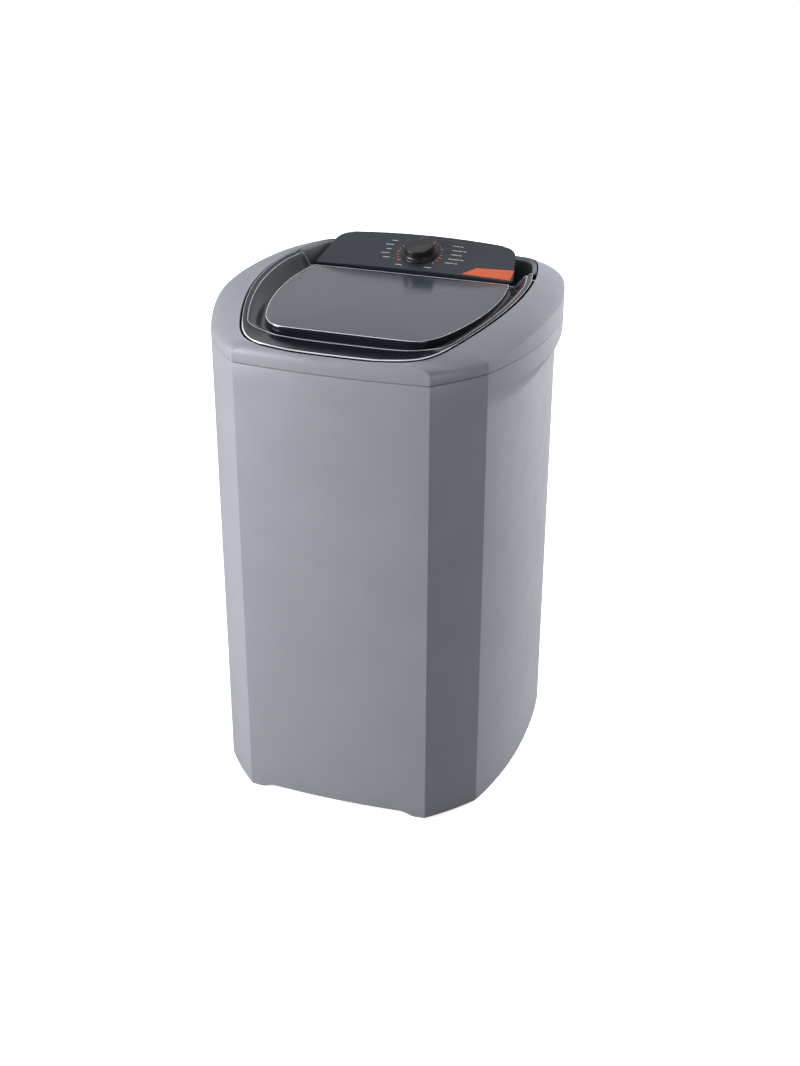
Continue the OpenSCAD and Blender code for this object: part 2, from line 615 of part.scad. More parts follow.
pulley_z = 72;
belt_w = 12;
module groove_pulley(r, bore) {
    difference() {
        rotate_extrude($fn = 96) polygon([[0, 0], [r + 4, 0], [r + 4, 3], [r - 4, 8], [r - 4, 12],
            [r + 4, 17], [r + 4, 20], [0, 20]]);
        translate([0, 0, -1]) cylinder(r = bore + 0.02, h = 40);
    }
}
module driven_pulley() {
    color(panel_grey) at_tub(pulley_z) difference() {
        groove_pulley(driven_r, 8);
        for (z = [-1, 12]) translate([0, 0, z]) difference() {
            cylinder(r = driven_r - 14, h = 9);
            translate([0, 0, -1]) cylinder(r = 22, h = 12);
            for (a = [0 : 60 : 300]) rotate(a) translate([0, -4, -1]) cube([driven_r, 8, 12]);
        }
        for (a = [30 : 60 : 330]) rotate(a) translate([62, 0, -1]) cylinder(r = 22, h = 40);
    }
}
module pulley_nut() {
    color(steel) at_tub(pulley_z - 9.9) difference() {
        cylinder(r = 13, h = 9.8, $fn = 6);
        translate([0, 0, -1]) cylinder(r = 8.02, h = 20);
    }
}

motor_place = [-163, tub_y];
belt_run = norm(motor_place - [0, tub_y]);
module at_motor(z = 0) translate([motor_place[0], motor_place[1], z]) children();
module motor_pulley() {
    color(steel) at_motor(pulley_z) groove_pulley(motor_pulley_r, 6);
}
// Points of the belt's run around both pulleys, g outside the line where it meets them
function belt_points(g) = let (lean = asin((driven_r - motor_pulley_r) / belt_run),
        rd = driven_r - 3.4 + g, rm = motor_pulley_r - 3.4 + g) concat(
    [for (i = [0 : 36]) let (a = 90 - lean + i * (180 + 2 * lean) / 36) rd * [cos(a), sin(a)]],
    [for (i = [0 : 16]) let (a = 270 + lean + i * (180 - 2 * lean) / 16)
        [belt_run, 0] + rm * [cos(a), sin(a)]]);
module drive_belt() {
    color(black) at_tub(pulley_z + 8.3) rotate(atan2(motor_place[1] - tub_y, motor_place[0]))
        linear_extrude(3.4) difference() {
            polygon(belt_points(6));
            polygon(belt_points(0));
        }
}

frame_z = 205;
module drive_frame() {
    color(steel) difference() {
        union() {
            for (a = [45, 135]) at_tub(frame_z) rotate(a) {
                translate([-200, -22, 0]) cube([400, 44, 3]);
                for (y = [-22, 19]) translate([-190, y, 0]) cube([380, 3, 14]);
            }
            for (p = leg_places) translate([p[0], p[1], frame_z]) cylinder(r = 22, h = 14);
            at_tub(frame_z) translate([motor_place[0], -30, 0]) cube([-motor_place[0], 60, 3]);
            at_motor(frame_z) cylinder(r = 74, h = 3);
            at_tub(frame_z) cylinder(r = 50, h = 6.9);
        }
        for (p = leg_places) translate([p[0], p[1], frame_z - 1]) cylinder(r = 16.03, h = 60);
        at_tub(frame_z - 1) cylinder(r = 26.1, h = 60);
        at_motor(frame_z - 1) cylinder(r = 26, h = 60);
        for (a = [45 : 90 : 315]) at_motor(frame_z - 1) rotate(a) translate([62, 0, 0])
            cylinder(r = 3.05, h = 60);
    }
}

motor_r = 66;
motor_top = frame_z - 6.2;
motor_h = 98;
module motor_housing() {
    color(steel) at_motor(motor_top - motor_h) difference() {
        union() {
            translate([0, 0, 3]) cylinder(r = motor_r - 4, h = motor_h - 6);
            translate([0, 0, 20]) cylinder(r = motor_r, h = motor_h - 40);
            cylinder(r = 24, h = motor_h);
            for (a = [45 : 90 : 315]) rotate(a) translate([62, 0, motor_h - 24])
                cylinder(r = 8, h = 30.1);
        }
        translate([0, 0, 8]) cylinder(r = motor_r - 14, h = motor_h - 16);
        translate([0, 0, -1]) cylinder(r = 6.05, h = motor_h + 20);
        for (a = [45 : 90 : 315]) rotate(a) translate([62, 0, motor_h - 22]) cylinder(r = 2.98, h = 40);
        for (a = [0 : 30 : 330]) rotate(a) translate([34, -3, -1]) cube([14, 6, 14]);
        for (a = [0 : 30 : 330]) rotate(a) translate([34, -3, motor_h - 14]) cube([14, 6, 20]);
    }
}
module motor_rotor() {
    color(panel_grey) at_motor(motor_top - motor_h + 14) difference() {
        union() {
            translate([0, 0, 12]) cylinder(r = 40, h = 46);
            cylinder(r = 12, h = 68);
            for (a = [0 : 45 : 315]) rotate(a) translate([10, -1.5, 2]) cube([34, 3, 10.5]);
        }
        translate([0, 0, -1]) cylinder(r = 6.02, h = 100);
    }
}
module motor_shaft() {
    color(steel) at_motor(shaft_bottom + 4) cylinder(r = 6, h = motor_top - shaft_bottom + 10);
}

capacitor_x = 125;
capacitor_y = 205;
module capacitor() {
    color(tub_white) translate([capacitor_x, capacitor_y, plate_z + plate_t + 0.1]) {
        cylinder(r = 20, h = 84);
        for (x = [-7, 4]) translate([x, -3, 84 - eps]) cube([3, 6, 9]);
    }
}
module capacitor_strap() {
    color(steel) translate([capacitor_x, capacitor_y, plate_z + plate_t]) difference() {
        union() {
            translate([0, 0, 30]) cylinder(r = 22, h = 18);
            translate([19, -9, 0]) cube([3, 18, 48]);
            translate([19, -9, 0]) cube([22, 18, 2.5]);
        }
        translate([0, 0, -1]) cylinder(r = 20.15, h = 60);
        translate([-40, -8, 29]) cube([22, 16, 30]);
    }
}

// ---- lint filter, drain and rear fittings ----

filter_z = 640;
filter_w = 110;
filter_h = 150;
// The tub's wall leans outwards, so the filter hangs from a straight guide inside it
guide_y = tub_y + 205;
// Inside radius of the tub's wall at height z
function tub_wall_r(z) = floor_r + 50 + (tub_r - floor_r - 53) * (z - tub_z - 84) / (tub_top - tub_z - 124);
module lint_filter_guide() {
    color(tub_white) translate([0, guide_y, filter_z - 12]) {
        for (s = [-1, 1]) difference() {
            translate([s * (filter_w / 2 + 5) - 7, -4, 0]) cube([14, 18, filter_h]);
            translate([s * (filter_w / 2 + 0.2) - 6, 2.8, 8]) cube([12, 7.4, filter_h]);
        }
        translate([-filter_w / 2 - 12, -4, 0]) cube([filter_w + 24, 18, 7]);
        translate([-filter_w / 2 - 12, 11, 0]) cube([filter_w + 24, 3, filter_h]);
        for (z = [12, filter_h - 22]) translate([-7, 14 - eps, z])
            cube([14, tub_y + tub_wall_r(filter_z - 12 + z) - 0.4 - guide_y - 14, 12]);
    }
}
module lint_filter() {
    color([0.35, 0.55, 0.75]) translate([0, guide_y, filter_z - 3.7]) {
        difference() {
            translate([-filter_w / 2 - 4, 3, 0]) cube([filter_w + 8, 7, filter_h - 12]);
            for (x = [-44 : 22 : 44]) for (z = [14 : 24 : filter_h - 40])
                translate([x - 8, 2, z]) cube([16, 9, 18]);
        }
        translate([-14, -6, filter_h - 30]) cube([28, 9 + eps, 4]);
        translate([-filter_w / 2 + 4, -14, 8]) difference() {
            cube([filter_w - 8, 17 + eps, 84]);
            translate([3, 3, 3]) cube([filter_w - 14, 15, 90]);
        }
    }
}

sump_h = 46;
module drain_sump() {
    color(black) translate([sump_place[0], sump_place[1], tub_z]) difference() {
        union() {
            translate([0, 0, -6]) cylinder(r = 30, h = 5.9);
            translate([0, 0, -sump_h]) cylinder(r = 24, h = sump_h - 5);
            translate([0, 0, -30]) rotate([-90, 0, 0]) cylinder(r = 14, h = 44);
        }
        translate([0, 0, -sump_h + 3]) cylinder(r = 20, h = 80);
        translate([0, 0, -30]) rotate([-90, 0, 0]) cylinder(r = 11, h = 60);
    }
}

spigot_x = sump_place[0];
spigot_z = tub_z - 30;
spigot_r = 13;
// Square pocket in the rear wall round the spigot
pocket_w = 64;
pocket_d = 28;
// Straight pipe from the sump's neck to the spigot on the rear wall
module drain_pipe() {
    start = sump_place[1] + 30;
    color(panel_grey) translate([spigot_x, start, spigot_z]) rotate([-90, 0, 0]) difference() {
        cylinder(r = 17, h = half_d - pocket_d - 26 - start);
        translate([0, 0, -1]) cylinder(r = 14.03, h = half_d);
    }
}
module drain_spigot() {
    color(black) translate([spigot_x, half_d - pocket_d, spigot_z]) rotate([-90, 0, 0]) difference() {
        union() {
            translate([0, 0, -42]) cylinder(r = 14, h = 42);
            translate([0, 0, -wall - 4.1]) cylinder(r = 22, h = 4);
            translate([0, 0, -6]) cylinder(r = 16, h = 6);
            cylinder(r = spigot_r, h = 28);
            translate([0, 0, 28 - eps]) cylinder(r1 = spigot_r, r2 = spigot_r - 1.2, h = 4);
        }
        translate([0, 0, -50]) cylinder(r = 10, h = 100);
    }
}

gland_x = -130;
gland_y = half_d - pow(gland_x / back_x, 2);
gland_z = 120;
module cord_gland() {
    color(black) translate([gland_x, gland_y, gland_z]) rotate([-90, 0, 0]) difference() {
        union() {
            translate([0, 0, -9]) cylinder(r = 12, h = 9 - wall - 0.2);
            translate([0, 0, -8]) cylinder(r = 8.9, h = 10);
            translate([0, 0, 0.2]) cylinder(r = 12, h = 3.8);
        }
        translate([0, 0, -20]) cylinder(r = 3.6, h = 40);
    }
}
module terminal_block() {
    color(tub_white) translate([-60, -180, plate_z + plate_t]) difference() {
        cube([58, 20, 16]);
        for (x = [8 : 14 : 50]) translate([x, 10, 6]) cylinder(r = 3, h = 20);
        for (x = [15 : 14 : 43]) translate([x - 0.5, -1, 10]) cube([1, 22, 10]);
    }
}

cover_w = 190;
cover_h = 170;
cover_z = 125;
cover_screw_places = [for (x = [-1, 1]) for (z = [-1, 1])
    [x * (cover_w / 2 - 6), cover_z + z * (cover_h / 2 - 6)]];
module rear_cover() {
    color(shell_grey) difference() {
        translate([-cover_w / 2, half_d + 0.2, cover_z - cover_h / 2]) cube([cover_w, 2.6, cover_h]);
        for (p = cover_screw_places) translate([p[0], half_d - 20, p[1]]) rotate([-90, 0, 0])
            cylinder(r = 2.4, h = 60);
        for (z = [-48 : 16 : 48]) translate([-50, half_d - 10, cover_z + z - 2]) cube([100, 40, 4]);
    }
}

screw_r = 2;
// Pan head screw along +Z with its head at the origin
module screw(r, l, head_r, head_h) {
    difference() {
        cylinder(r = head_r, h = head_h);
        translate([-head_r * 0.7, -0.5, head_h - 0.9]) cube([head_r * 1.4, 1, 2]);
        translate([-0.5, -head_r * 0.7, head_h - 0.9]) cube([1, head_r * 1.4, 2]);
    }
    translate([0, 0, -l]) cylinder(r = r, h = l + eps);
}
module cover_screws() {
    color(steel) for (p = cover_screw_places) translate([p[0], half_d + 2.81, p[1]]) rotate([-90, 0, 0])
        screw(screw_r, 12, 4, 2.2);
}
ring_screw_x = [-120, 0, 120];
ring_screw_z = seam_z - 10;
ring_screw_r = 1.9;
module ring_screws() {
    color(steel) for (x = ring_screw_x) translate([x, half_d + 0.02, ring_screw_z]) rotate([-90, 0, 0])
        screw(ring_screw_r, 13, 4, 2.2);
}
module base_screws() {
    color(steel) for (p = base_screw_places) translate([p[0], p[1], plate_z - 0.01]) mirror([0, 0, 1])
        screw(screw_r, 24, 4.5, 2.6);
}
module frame_bolts() {
    color(steel) at_tub(tub_z - 8.02) for (a = [30 : 120 : 270]) rotate(a) translate([50, 0, 0])
        mirror([0, 0, 1]) {
            cylinder(r = 6, h = 5, $fn = 6);
            translate([0, 0, -7.5]) cylinder(r = 3, h = 8);
        }
}
module motor_bolts() {
    color(steel) for (a = [45 : 90 : 315]) at_motor(frame_z + 3.02) rotate(a) translate([62, 0, 0]) {
        cylinder(r = 6, h = 5, $fn = 6);
        translate([0, 0, -22]) cylinder(r = 2.95, h = 22.5);
    }
}

cabinet();
top_ring();
tub_collar();
base_plate();
foot(0);  // foot_1
foot(1);  // foot_2
foot(2);  // foot_3
foot(3);  // foot_4
lid();
hinge_pin(-1);  // hinge_pin_left
hinge_pin(1);  // hinge_pin_right
lid_bumper(-1);  // lid_bumper_left
lid_bumper(1);  // lid_bumper_right
console_housing();
control_panel();
panel_badge();
timer_knob();
timer_shaft();
timer_unit();
wash_tub();
tub_leg(0);  // tub_leg_1
tub_leg(1);  // tub_leg_2
tub_leg(2);  // tub_leg_3
tub_leg(3);  // tub_leg_4
agitator();
agitator_cap();
agitator_screw();
agitator_shaft();
shaft_seal();
bush(tub_z - 39);  // upper_bush
bush(housing_z);  // lower_bush
bearing_housing();
driven_pulley();
pulley_nut();
drive_belt();
drive_frame();
motor_housing();
motor_rotor();
motor_shaft();
motor_pulley();
capacitor();
capacitor_strap();
lint_filter_guide();
lint_filter();
drain_sump();
drain_pipe();
drain_spigot();
cord_gland();
terminal_block();
rear_cover();
cover_screws();
ring_screws();
base_screws();
frame_bolts();
motor_bolts();
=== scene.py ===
"""Looks of the top load washing machine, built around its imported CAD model.

Outlines and profiles are in millimetres and become metres in the meshes. +Z is up and the front
faces -Y. The seam, the width, the depth, the fittings and the console's floor come from the CAD
boxes, and the outlines repeat the sizes of the CAD source.
"""

import math

import bmesh
import bpy
import numpy as np
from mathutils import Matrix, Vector


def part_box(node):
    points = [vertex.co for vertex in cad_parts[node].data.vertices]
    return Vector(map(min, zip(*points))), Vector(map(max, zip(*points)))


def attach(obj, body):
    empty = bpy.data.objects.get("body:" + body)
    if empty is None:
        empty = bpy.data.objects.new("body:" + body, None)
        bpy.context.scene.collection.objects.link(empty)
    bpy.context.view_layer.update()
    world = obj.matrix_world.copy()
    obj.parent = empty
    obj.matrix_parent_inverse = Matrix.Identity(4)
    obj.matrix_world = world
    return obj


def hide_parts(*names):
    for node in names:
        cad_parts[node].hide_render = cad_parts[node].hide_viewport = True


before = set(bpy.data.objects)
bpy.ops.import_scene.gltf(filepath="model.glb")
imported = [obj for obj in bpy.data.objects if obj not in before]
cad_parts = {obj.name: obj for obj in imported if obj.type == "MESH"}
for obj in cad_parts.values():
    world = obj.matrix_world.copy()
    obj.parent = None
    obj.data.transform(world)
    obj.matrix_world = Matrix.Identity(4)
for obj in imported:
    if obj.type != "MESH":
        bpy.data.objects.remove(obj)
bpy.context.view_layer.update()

MM = 0.001
WELD = 1e-6  # points closer than this many metres become one
SHARP = 35.0  # edges over this many degrees are drawn sharp


def low(node):
    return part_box(node)[0] / MM


def high(node):
    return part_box(node)[1] / MM


def middle_of(node):
    return (low(node) + high(node)) / 2


# ---- driving sizes, from the CAD boxes ----

SEAM = high("cabinet").z
HALF_W = high("top_ring").x
HALF_D = high("top_ring").y
BASE_BODY = "base"
WALL = 3.2  # plate of the cabinet and of the ring
RECESS = 21.0  # how far the side walls stand back under the top band
BAND, COVE = 33.0, 42.0  # heights of the top band and of the cove under it
FOOT_LOW = 3  # the cabinet's lower edge at the corners
ARCH = 9.0  # rise of that edge across the front and back
ARCH_X, ARCH_FADE = 128, 30  # half width of the arch's flat, and the length of its ends

# Stations along the front, the front corner facet, the side, the rear corner and the back
FRONT_N, FACET_N, SIDE_N, CORNER_N, BACK_N = 36, 24, 80, 36, 30
FRONT_X = HALF_W - 134
FRONT_BOW = 10  # how far the front falls back by its ends
FACET_X = HALF_W - 57.4
FACET_Y = 95.5 - HALF_D
FACET_SWELL = 12  # outward swell of the corner facets
BACK_X = 150.0
REAR_Y = 174.0
SIDE_MID = 34.0

# The lid opening
OPENING_W, OPENING_MID = 250.5, 55  # greatest half width, and where along Y it is
OPENING_FRONT_X, OPENING_BACK_X = 118, 172  # half widths of its front and back edges
OPENING_FRONT_Y, OPENING_BACK_Y = -298, 283.5
OPENING_SIDE_FRONT, OPENING_SIDE_BACK = -218, 200  # where its long sides start and end

# The lid: its back edge, the wings beside the panel, and the raised island's corners
LID_BACK = 147.0
LID_GAP = 4.0
LID_SIDE_FRONT = -216  # where its long sides start
WING_Y = 166.0
WING_FOOT = WING_Y - 8
WING_X = 199
WING_PULL = 3  # how much further the wings stand from the opening
ISLAND_FRONT_X, ISLAND_FRONT_Y = 110, -226
ISLAND_SIDE_FRONT, ISLAND_SIDE_BACK = (163, -180), (198, 120)
ISLAND_BACK_X, ISLAND_BACK_Y = 194, 141.0

# The ring's ledge under the lid
LEDGE_DROP = 13.0
LEDGE_W = 9.0
LEDGE_TURN_Y, LEDGE_TURN = 128, 16  # where its width changes beside the console

# The shallow hollow for fingers at the middle of the front
SCOOP_X, SCOOP_Y = 70, -200

# Heights over the seam at one place along Y
LEVEL_Y = 24
RIM_UP, ISLAND_UP, GUTTER_DROP = 56.5, 39, 17.5
CREASE_UP, CREASE_RISE = 18, 17


# ---- outlines, the same curves as the CAD source at a finer pitch ----


def steps(n, end=False):
    """Shares from nought towards one, which is left for the next stretch unless end is set."""
    return np.linspace(0.0, 1.0, n, endpoint=end)


def smooth(t):
    """A soft step from nought to one."""
    u = np.clip(t, 0.0, 1.0)
    return u * u * (3 - 2 * u)


def bezier(a, b, c, d, t):
    a, b, c, d = (np.array(p, float) for p in (a, b, c, d))
    t = t[:, None]
    return (1 - t) ** 3 * a + 3 * t * (1 - t) ** 2 * b + 3 * t * t * (1 - t) * c + t**3 * d


def side_x(w, power, y):
    """Half width of the machine at a place along its curved side."""
    return w - (w - FACET_X) * (np.abs(y - SIDE_MID) / (SIDE_MID - FACET_Y)) ** power


def cabinet_half(w, power):
    """Right half of a cabinet section, from the middle of the front to the middle of the back."""
    x = FRONT_X * steps(FRONT_N)
    front = np.c_[x, -HALF_D + FRONT_BOW * (x / FRONT_X) ** 2]
    t = steps(FACET_N)
    bulge = FACET_SWELL * t * (1 - t)
    facet = np.c_[
        FRONT_X + (FACET_X - FRONT_X) * t + 0.75 * bulge,
        (FRONT_BOW - HALF_D) * (1 - t) + FACET_Y * t - 0.66 * bulge,
    ]
    y = FACET_Y + (REAR_Y - FACET_Y) * steps(SIDE_N)
    side = np.c_[side_x(w, power, y), y]
    x = side_x(w, power, REAR_Y)
    corner = bezier(
        (x, REAR_Y),
        (x - 21, REAR_Y + 87),
        (BACK_X + 75, HALF_D - 3),
        (BACK_X, HALF_D - 1),
        steps(CORNER_N),
    )
    t = 1 - steps(BACK_N + 1, True)
    back = np.c_[BACK_X * t, HALF_D - t * t]
    return np.vstack([front, facet, side, corner, back])


def opening_x(y):
    """Half width of the lid opening at a place along its sides."""
    return OPENING_W - 0.00073 * (y - OPENING_MID) ** 2


def opening_half():
    """Right half of the lid opening."""
    x = OPENING_FRONT_X * steps(FRONT_N)
    front = np.c_[x, OPENING_FRONT_Y + 4 * (x / OPENING_FRONT_X) ** 2]
    facet = bezier(
        (OPENING_FRONT_X, OPENING_FRONT_Y + 4),
        (158, -291),
        (180, -262),
        (opening_x(OPENING_SIDE_FRONT), OPENING_SIDE_FRONT),
        steps(FACET_N),
    )
    y = OPENING_SIDE_FRONT + (OPENING_SIDE_BACK - OPENING_SIDE_FRONT) * steps(SIDE_N)
    side = np.c_[opening_x(y), y]
    corner = bezier(
        (opening_x(OPENING_SIDE_BACK), OPENING_SIDE_BACK),
        (222, 258),
        (212, 281),
        (OPENING_BACK_X, OPENING_BACK_Y - 0.5),
        steps(CORNER_N),
    )
    x = OPENING_BACK_X * (1 - steps(BACK_N + 1, True))
    back = np.c_[x, np.full(len(x), OPENING_BACK_Y)]
    return np.vstack([front, facet, side, corner, back])


def lid_half():
    """Right half of the lid's outer edge, with the wings beside the control panel."""
    near = grow(OPENING, -LID_GAP)[: FRONT_N + FACET_N]
    y = LID_SIDE_FRONT + (WING_FOOT - LID_SIDE_FRONT) * steps(SIDE_N)
    side = np.c_[opening_x(y) - LID_GAP - WING_PULL * smooth((y - 110) / 35), y]
    wing = bezier(
        (opening_x(WING_FOOT) - LID_GAP - WING_PULL, WING_FOOT),
        (232, WING_Y + 6),
        (212, WING_Y - 18),
        (WING_X, LID_BACK + 1),
        steps(CORNER_N),
    )
    x = WING_X * (1 - steps(BACK_N + 1, True))
    return np.vstack([near, side, wing, np.c_[x, np.full(len(x), LID_BACK)]])


def island_half():
    """Right half of the raised island's edge."""
    t = steps(FRONT_N)
    front = np.c_[ISLAND_FRONT_X * t, ISLAND_FRONT_Y + t * t]
    start = (ISLAND_FRONT_X, ISLAND_FRONT_Y + 1)
    facet = bezier(start, (140, -224), (148, -208), ISLAND_SIDE_FRONT, steps(FACET_N))
    side = bezier(ISLAND_SIDE_FRONT, (190, -110), (214, 0), ISLAND_SIDE_BACK, steps(SIDE_N))
    t = steps(CORNER_N)
    x, y = ISLAND_SIDE_BACK
    corner = np.c_[x + (ISLAND_BACK_X - x) * t, y + (ISLAND_BACK_Y - y) * t]
    x = ISLAND_BACK_X * (1 - steps(BACK_N + 1, True))
    return np.vstack([front, facet, side, corner, np.c_[x, np.full(len(x), ISLAND_BACK_Y)]])


def loop(half):
    """The whole loop of a half outline, anticlockwise from above."""
    mirrored = half[1:-1][::-1] * [-1, 1]
    return np.vstack([half, mirrored])


def tangents(p):
    t = np.roll(p, -1, 0) - np.roll(p, 1, 0)
    return t / np.linalg.norm(t, axis=1)[:, None]


def grow(p, g):
    """A loop moved outwards by g."""
    t = tangents(p)
    return p + np.c_[t[:, 1], -t[:, 0]] * np.reshape(g, (-1, 1))


def soften(p, passes):
    """Rounds the corners of a loop."""
    for _ in range(passes):
        p = 0.25 * np.roll(p, 1, 0) + 0.5 * p + 0.25 * np.roll(p, -1, 0)
    return p


def at_z(p, z):
    """A loop laid at a height, or at one for each point."""
    return np.c_[p, np.broadcast_to(z, len(p))]


def rim_z(y):
    """Height of the opening's rim."""
    return SEAM + RIM_UP + 0.0087 * (y - LEVEL_Y) - 0.000185 * (y - LEVEL_Y) ** 2


def crease_z(y):
    """Height of the crease round the outside of the ring."""
    return SEAM + CREASE_UP + CREASE_RISE * smooth((y + 250) / 230)


def island_z(y):
    """Height of the island's edge."""
    return SEAM + ISLAND_UP - 0.0277 * (y - LEVEL_Y)


def gutter_z(y):
    """Height of the gutter round the island."""
    return island_z(y) - GUTTER_DROP + 9.5 * smooth((y + 226) / 300)


def scoop(p, deep, fade):
    """How far the finger hollow lowers each point of a loop."""
    return deep * (1 - smooth((np.abs(p[:, 0]) - SCOOP_X) / fade)) * (p[:, 1] < SCOOP_Y)


SEAM_LOOP = loop(cabinet_half(HALF_W, 2.0))
BODY_LOOP = loop(cabinet_half(HALF_W - RECESS, 2.2))
OPENING = soften(loop(opening_half()), 2)
LID_LOOP = soften(loop(lid_half()), 2)
ISLAND = soften(loop(island_half()), 3)
N = len(SEAM_LOOP)
# Stations of the upright creases at both ends of the corner facets
CREASES = {FRONT_N, FRONT_N + FACET_N, N - FRONT_N, N - FRONT_N - FACET_N}


# ---- meshes ----


def make(name, verts, faces, material, body, slot, replaces=(), sharp=SHARP):
    """A piece from points in millimetres, smooth apart from its edges over sharp degrees."""
    mesh = bpy.data.meshes.new(name)
    mesh.from_pydata([tuple(v) for v in np.asarray(verts) * MM], [], faces)
    bm = bmesh.new()
    bm.from_mesh(mesh)
    bmesh.ops.remove_doubles(bm, verts=bm.verts, dist=WELD)
    bmesh.ops.recalc_face_normals(bm, faces=bm.faces)
    bm.to_mesh(mesh)
    bm.free()
    mesh.shade_smooth()
    mesh.set_sharp_from_angle(angle=math.radians(sharp))
    mesh.materials.append(material)
    piece = bpy.data.objects.new(name, mesh)
    bpy.context.scene.collection.objects.link(piece)
    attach(piece, body)
    if replaces:
        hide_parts(*replaces)
    return piece


def skin(rows, tube=True, first=0):
    """Faces over rows of points: joined end to end into a tube, or closed by two flat caps."""
    n, count = len(rows[0]), len(rows)
    faces = []
    for r in range(count if tube else count - 1):
        s = (r + 1) % count
        for i in range(n):
            j = (i + 1) % n
            here, there = first + r * n, first + s * n
            faces.append((here + i, there + i, there + j, here + j))
    if not tube:
        faces.append(tuple(range(first, first + n)))
        faces.append(tuple(range(first + (count - 1) * n, first + count * n)))
    return np.vstack(rows), faces


def disc_rows(centre_row, middle, shares, lift):
    """Rows that shrink a loop towards a middle point, each given its height by lift(x, y)."""
    rows = []
    for share in shares:
        p = middle + (centre_row[:, :2] - middle) * share
        rows.append(np.c_[p, lift(p[:, 0], p[:, 1])])
    return rows


def lathe(profile, count):
    """Rows of a turned shape about Z from (radius, height) points."""
    a = np.linspace(0, 2 * math.pi, count, endpoint=False)
    return [np.c_[r * np.cos(a), r * np.sin(a), np.full(count, z)] for r, z in profile]


def tube_along(path, radius, sides=8):
    """Rows round a closed path, for a bead of one radius or of one for each point."""
    radius = np.reshape(radius, (-1, 1))
    t = np.roll(path, -1, 0) - np.roll(path, 1, 0)
    t /= np.linalg.norm(t, axis=1)[:, None]
    out = np.cross(t, [0, 0, 1.0])
    out /= np.linalg.norm(out, axis=1)[:, None]
    up = np.cross(out, t)
    return [
        path + radius * (math.cos(a) * out + math.sin(a) * up)
        for a in np.linspace(0, 2 * math.pi, sides, endpoint=False)
    ]


# ---- materials ----

COAT_ROUGH = 0.12
NOISE_SPAN = (0.3, 0.7)
MOTTLE_SCALE, GLOSS_SCALE, DUST_SCALE = 7.0, 22.0, 30.0
DUST_COLOR = (0.45, 0.44, 0.42, 1)
GRAIN_DEEP = 0.0002
def plastic(
    name,
    color,
    rough,
    metallic=0.0,
    grain=0.0,
    grain_scale=900.0,
    mottle=0.03,
    coat=0.0,
    specular=0.5,
    dust=0.0,
):
    """Moulded plastic or metal: uneven colour and gloss, a fine grain, and a little dust on top."""
    m = bpy.data.materials.new(name)
    m.use_nodes = True
    nodes, links = m.node_tree.nodes, m.node_tree.links
    shader = nodes["Principled BSDF"]
    shader.inputs["Metallic"].default_value = metallic
    shader.inputs["Coat Weight"].default_value = coat
    shader.inputs["Coat Roughness"].default_value = COAT_ROUGH
    shader.inputs["Specular IOR Level"].default_value = specular
    place = nodes.new("ShaderNodeTexCoord")

    def noise(scale, detail=3.0):
        n = nodes.new("ShaderNodeTexNoise")
        n.inputs["Scale"].default_value = scale
        n.inputs["Detail"].default_value = detail
        links.new(place.outputs["Object"], n.inputs["Vector"])
        return n.outputs["Fac"]

    def ranged(value, a, b):
        r = nodes.new("ShaderNodeMapRange")
        r.inputs["From Min"].default_value, r.inputs["From Max"].default_value = NOISE_SPAN
        r.inputs["To Min"].default_value = a
        r.inputs["To Max"].default_value = b
        links.new(value, r.inputs["Value"])
        return r.outputs["Result"]

    mix = nodes.new("ShaderNodeMix")
    mix.data_type = "RGBA"
    mix.inputs["A"].default_value = tuple(c * (1 - mottle) for c in color) + (1,)
    mix.inputs["B"].default_value = tuple(min(1, c * (1 + mottle)) for c in color) + (1,)
    links.new(ranged(noise(MOTTLE_SCALE), 0, 1), mix.inputs["Factor"])
    tint = mix.outputs["Result"]
    if dust:
        shape = nodes.new("ShaderNodeNewGeometry")
        split = nodes.new("ShaderNodeSeparateXYZ")
        links.new(shape.outputs["Normal"], split.inputs["Vector"])
        upward = nodes.new("ShaderNodeMath")
        upward.operation = "MULTIPLY"
        upward.use_clamp = True
        links.new(split.outputs["Z"], upward.inputs[0])
        links.new(ranged(noise(DUST_SCALE, 6.0), 0.0, dust), upward.inputs[1])
        film = nodes.new("ShaderNodeMix")
        film.data_type = "RGBA"
        film.inputs["B"].default_value = DUST_COLOR
        links.new(upward.outputs["Value"], film.inputs["Factor"])
        links.new(tint, film.inputs["A"])
        tint = film.outputs["Result"]
    links.new(tint, shader.inputs["Base Color"])
    gloss = ranged(noise(GLOSS_SCALE, 5.0), rough * 0.9, min(1, rough * 1.12))
    links.new(gloss, shader.inputs["Roughness"])
    if grain:
        bump = nodes.new("ShaderNodeBump")
        bump.inputs["Strength"].default_value = grain
        bump.inputs["Distance"].default_value = GRAIN_DEEP
        links.new(noise(grain_scale, 2.0), bump.inputs["Height"])
        links.new(bump.outputs["Normal"], shader.inputs["Normal"])
    return m


SHELL = plastic("shell_grey", (0.248, 0.256, 0.288), 0.42, metallic=0.1, grain=0.12, coat=0.06)
LID_DARK = plastic("lid_smoke", (0.009, 0.011, 0.017), 0.15, mottle=0.08, coat=0.1, specular=0.4)
# painted reflection: the island's face is a lighter copy of the smoked lid plastic, standing in for
# the pale room it reflects; its dust is real
ISLAND_PAINTED_REFLECTION = plastic("lid_island", (0.042, 0.050, 0.066), 0.20, mottle=0.05, coat=0.3, dust=0.01)
# painted highlight: pale paint on thin beads along the lid's lip and the island's edge, in place of
# light caught on those edges
LID_HIGHLIGHT_PAINT = plastic("pale_highlight_paint", (0.80, 0.81, 0.84), 0.25, metallic=0.2, mottle=0.03)
# painted highlight: softer grey paint on the thin bead along the lid's crest, in place of the light
# line it catches
CREST_HIGHLIGHT_PAINT = plastic("crest_highlight_paint", (0.42, 0.43, 0.46), 0.30, mottle=0.03)
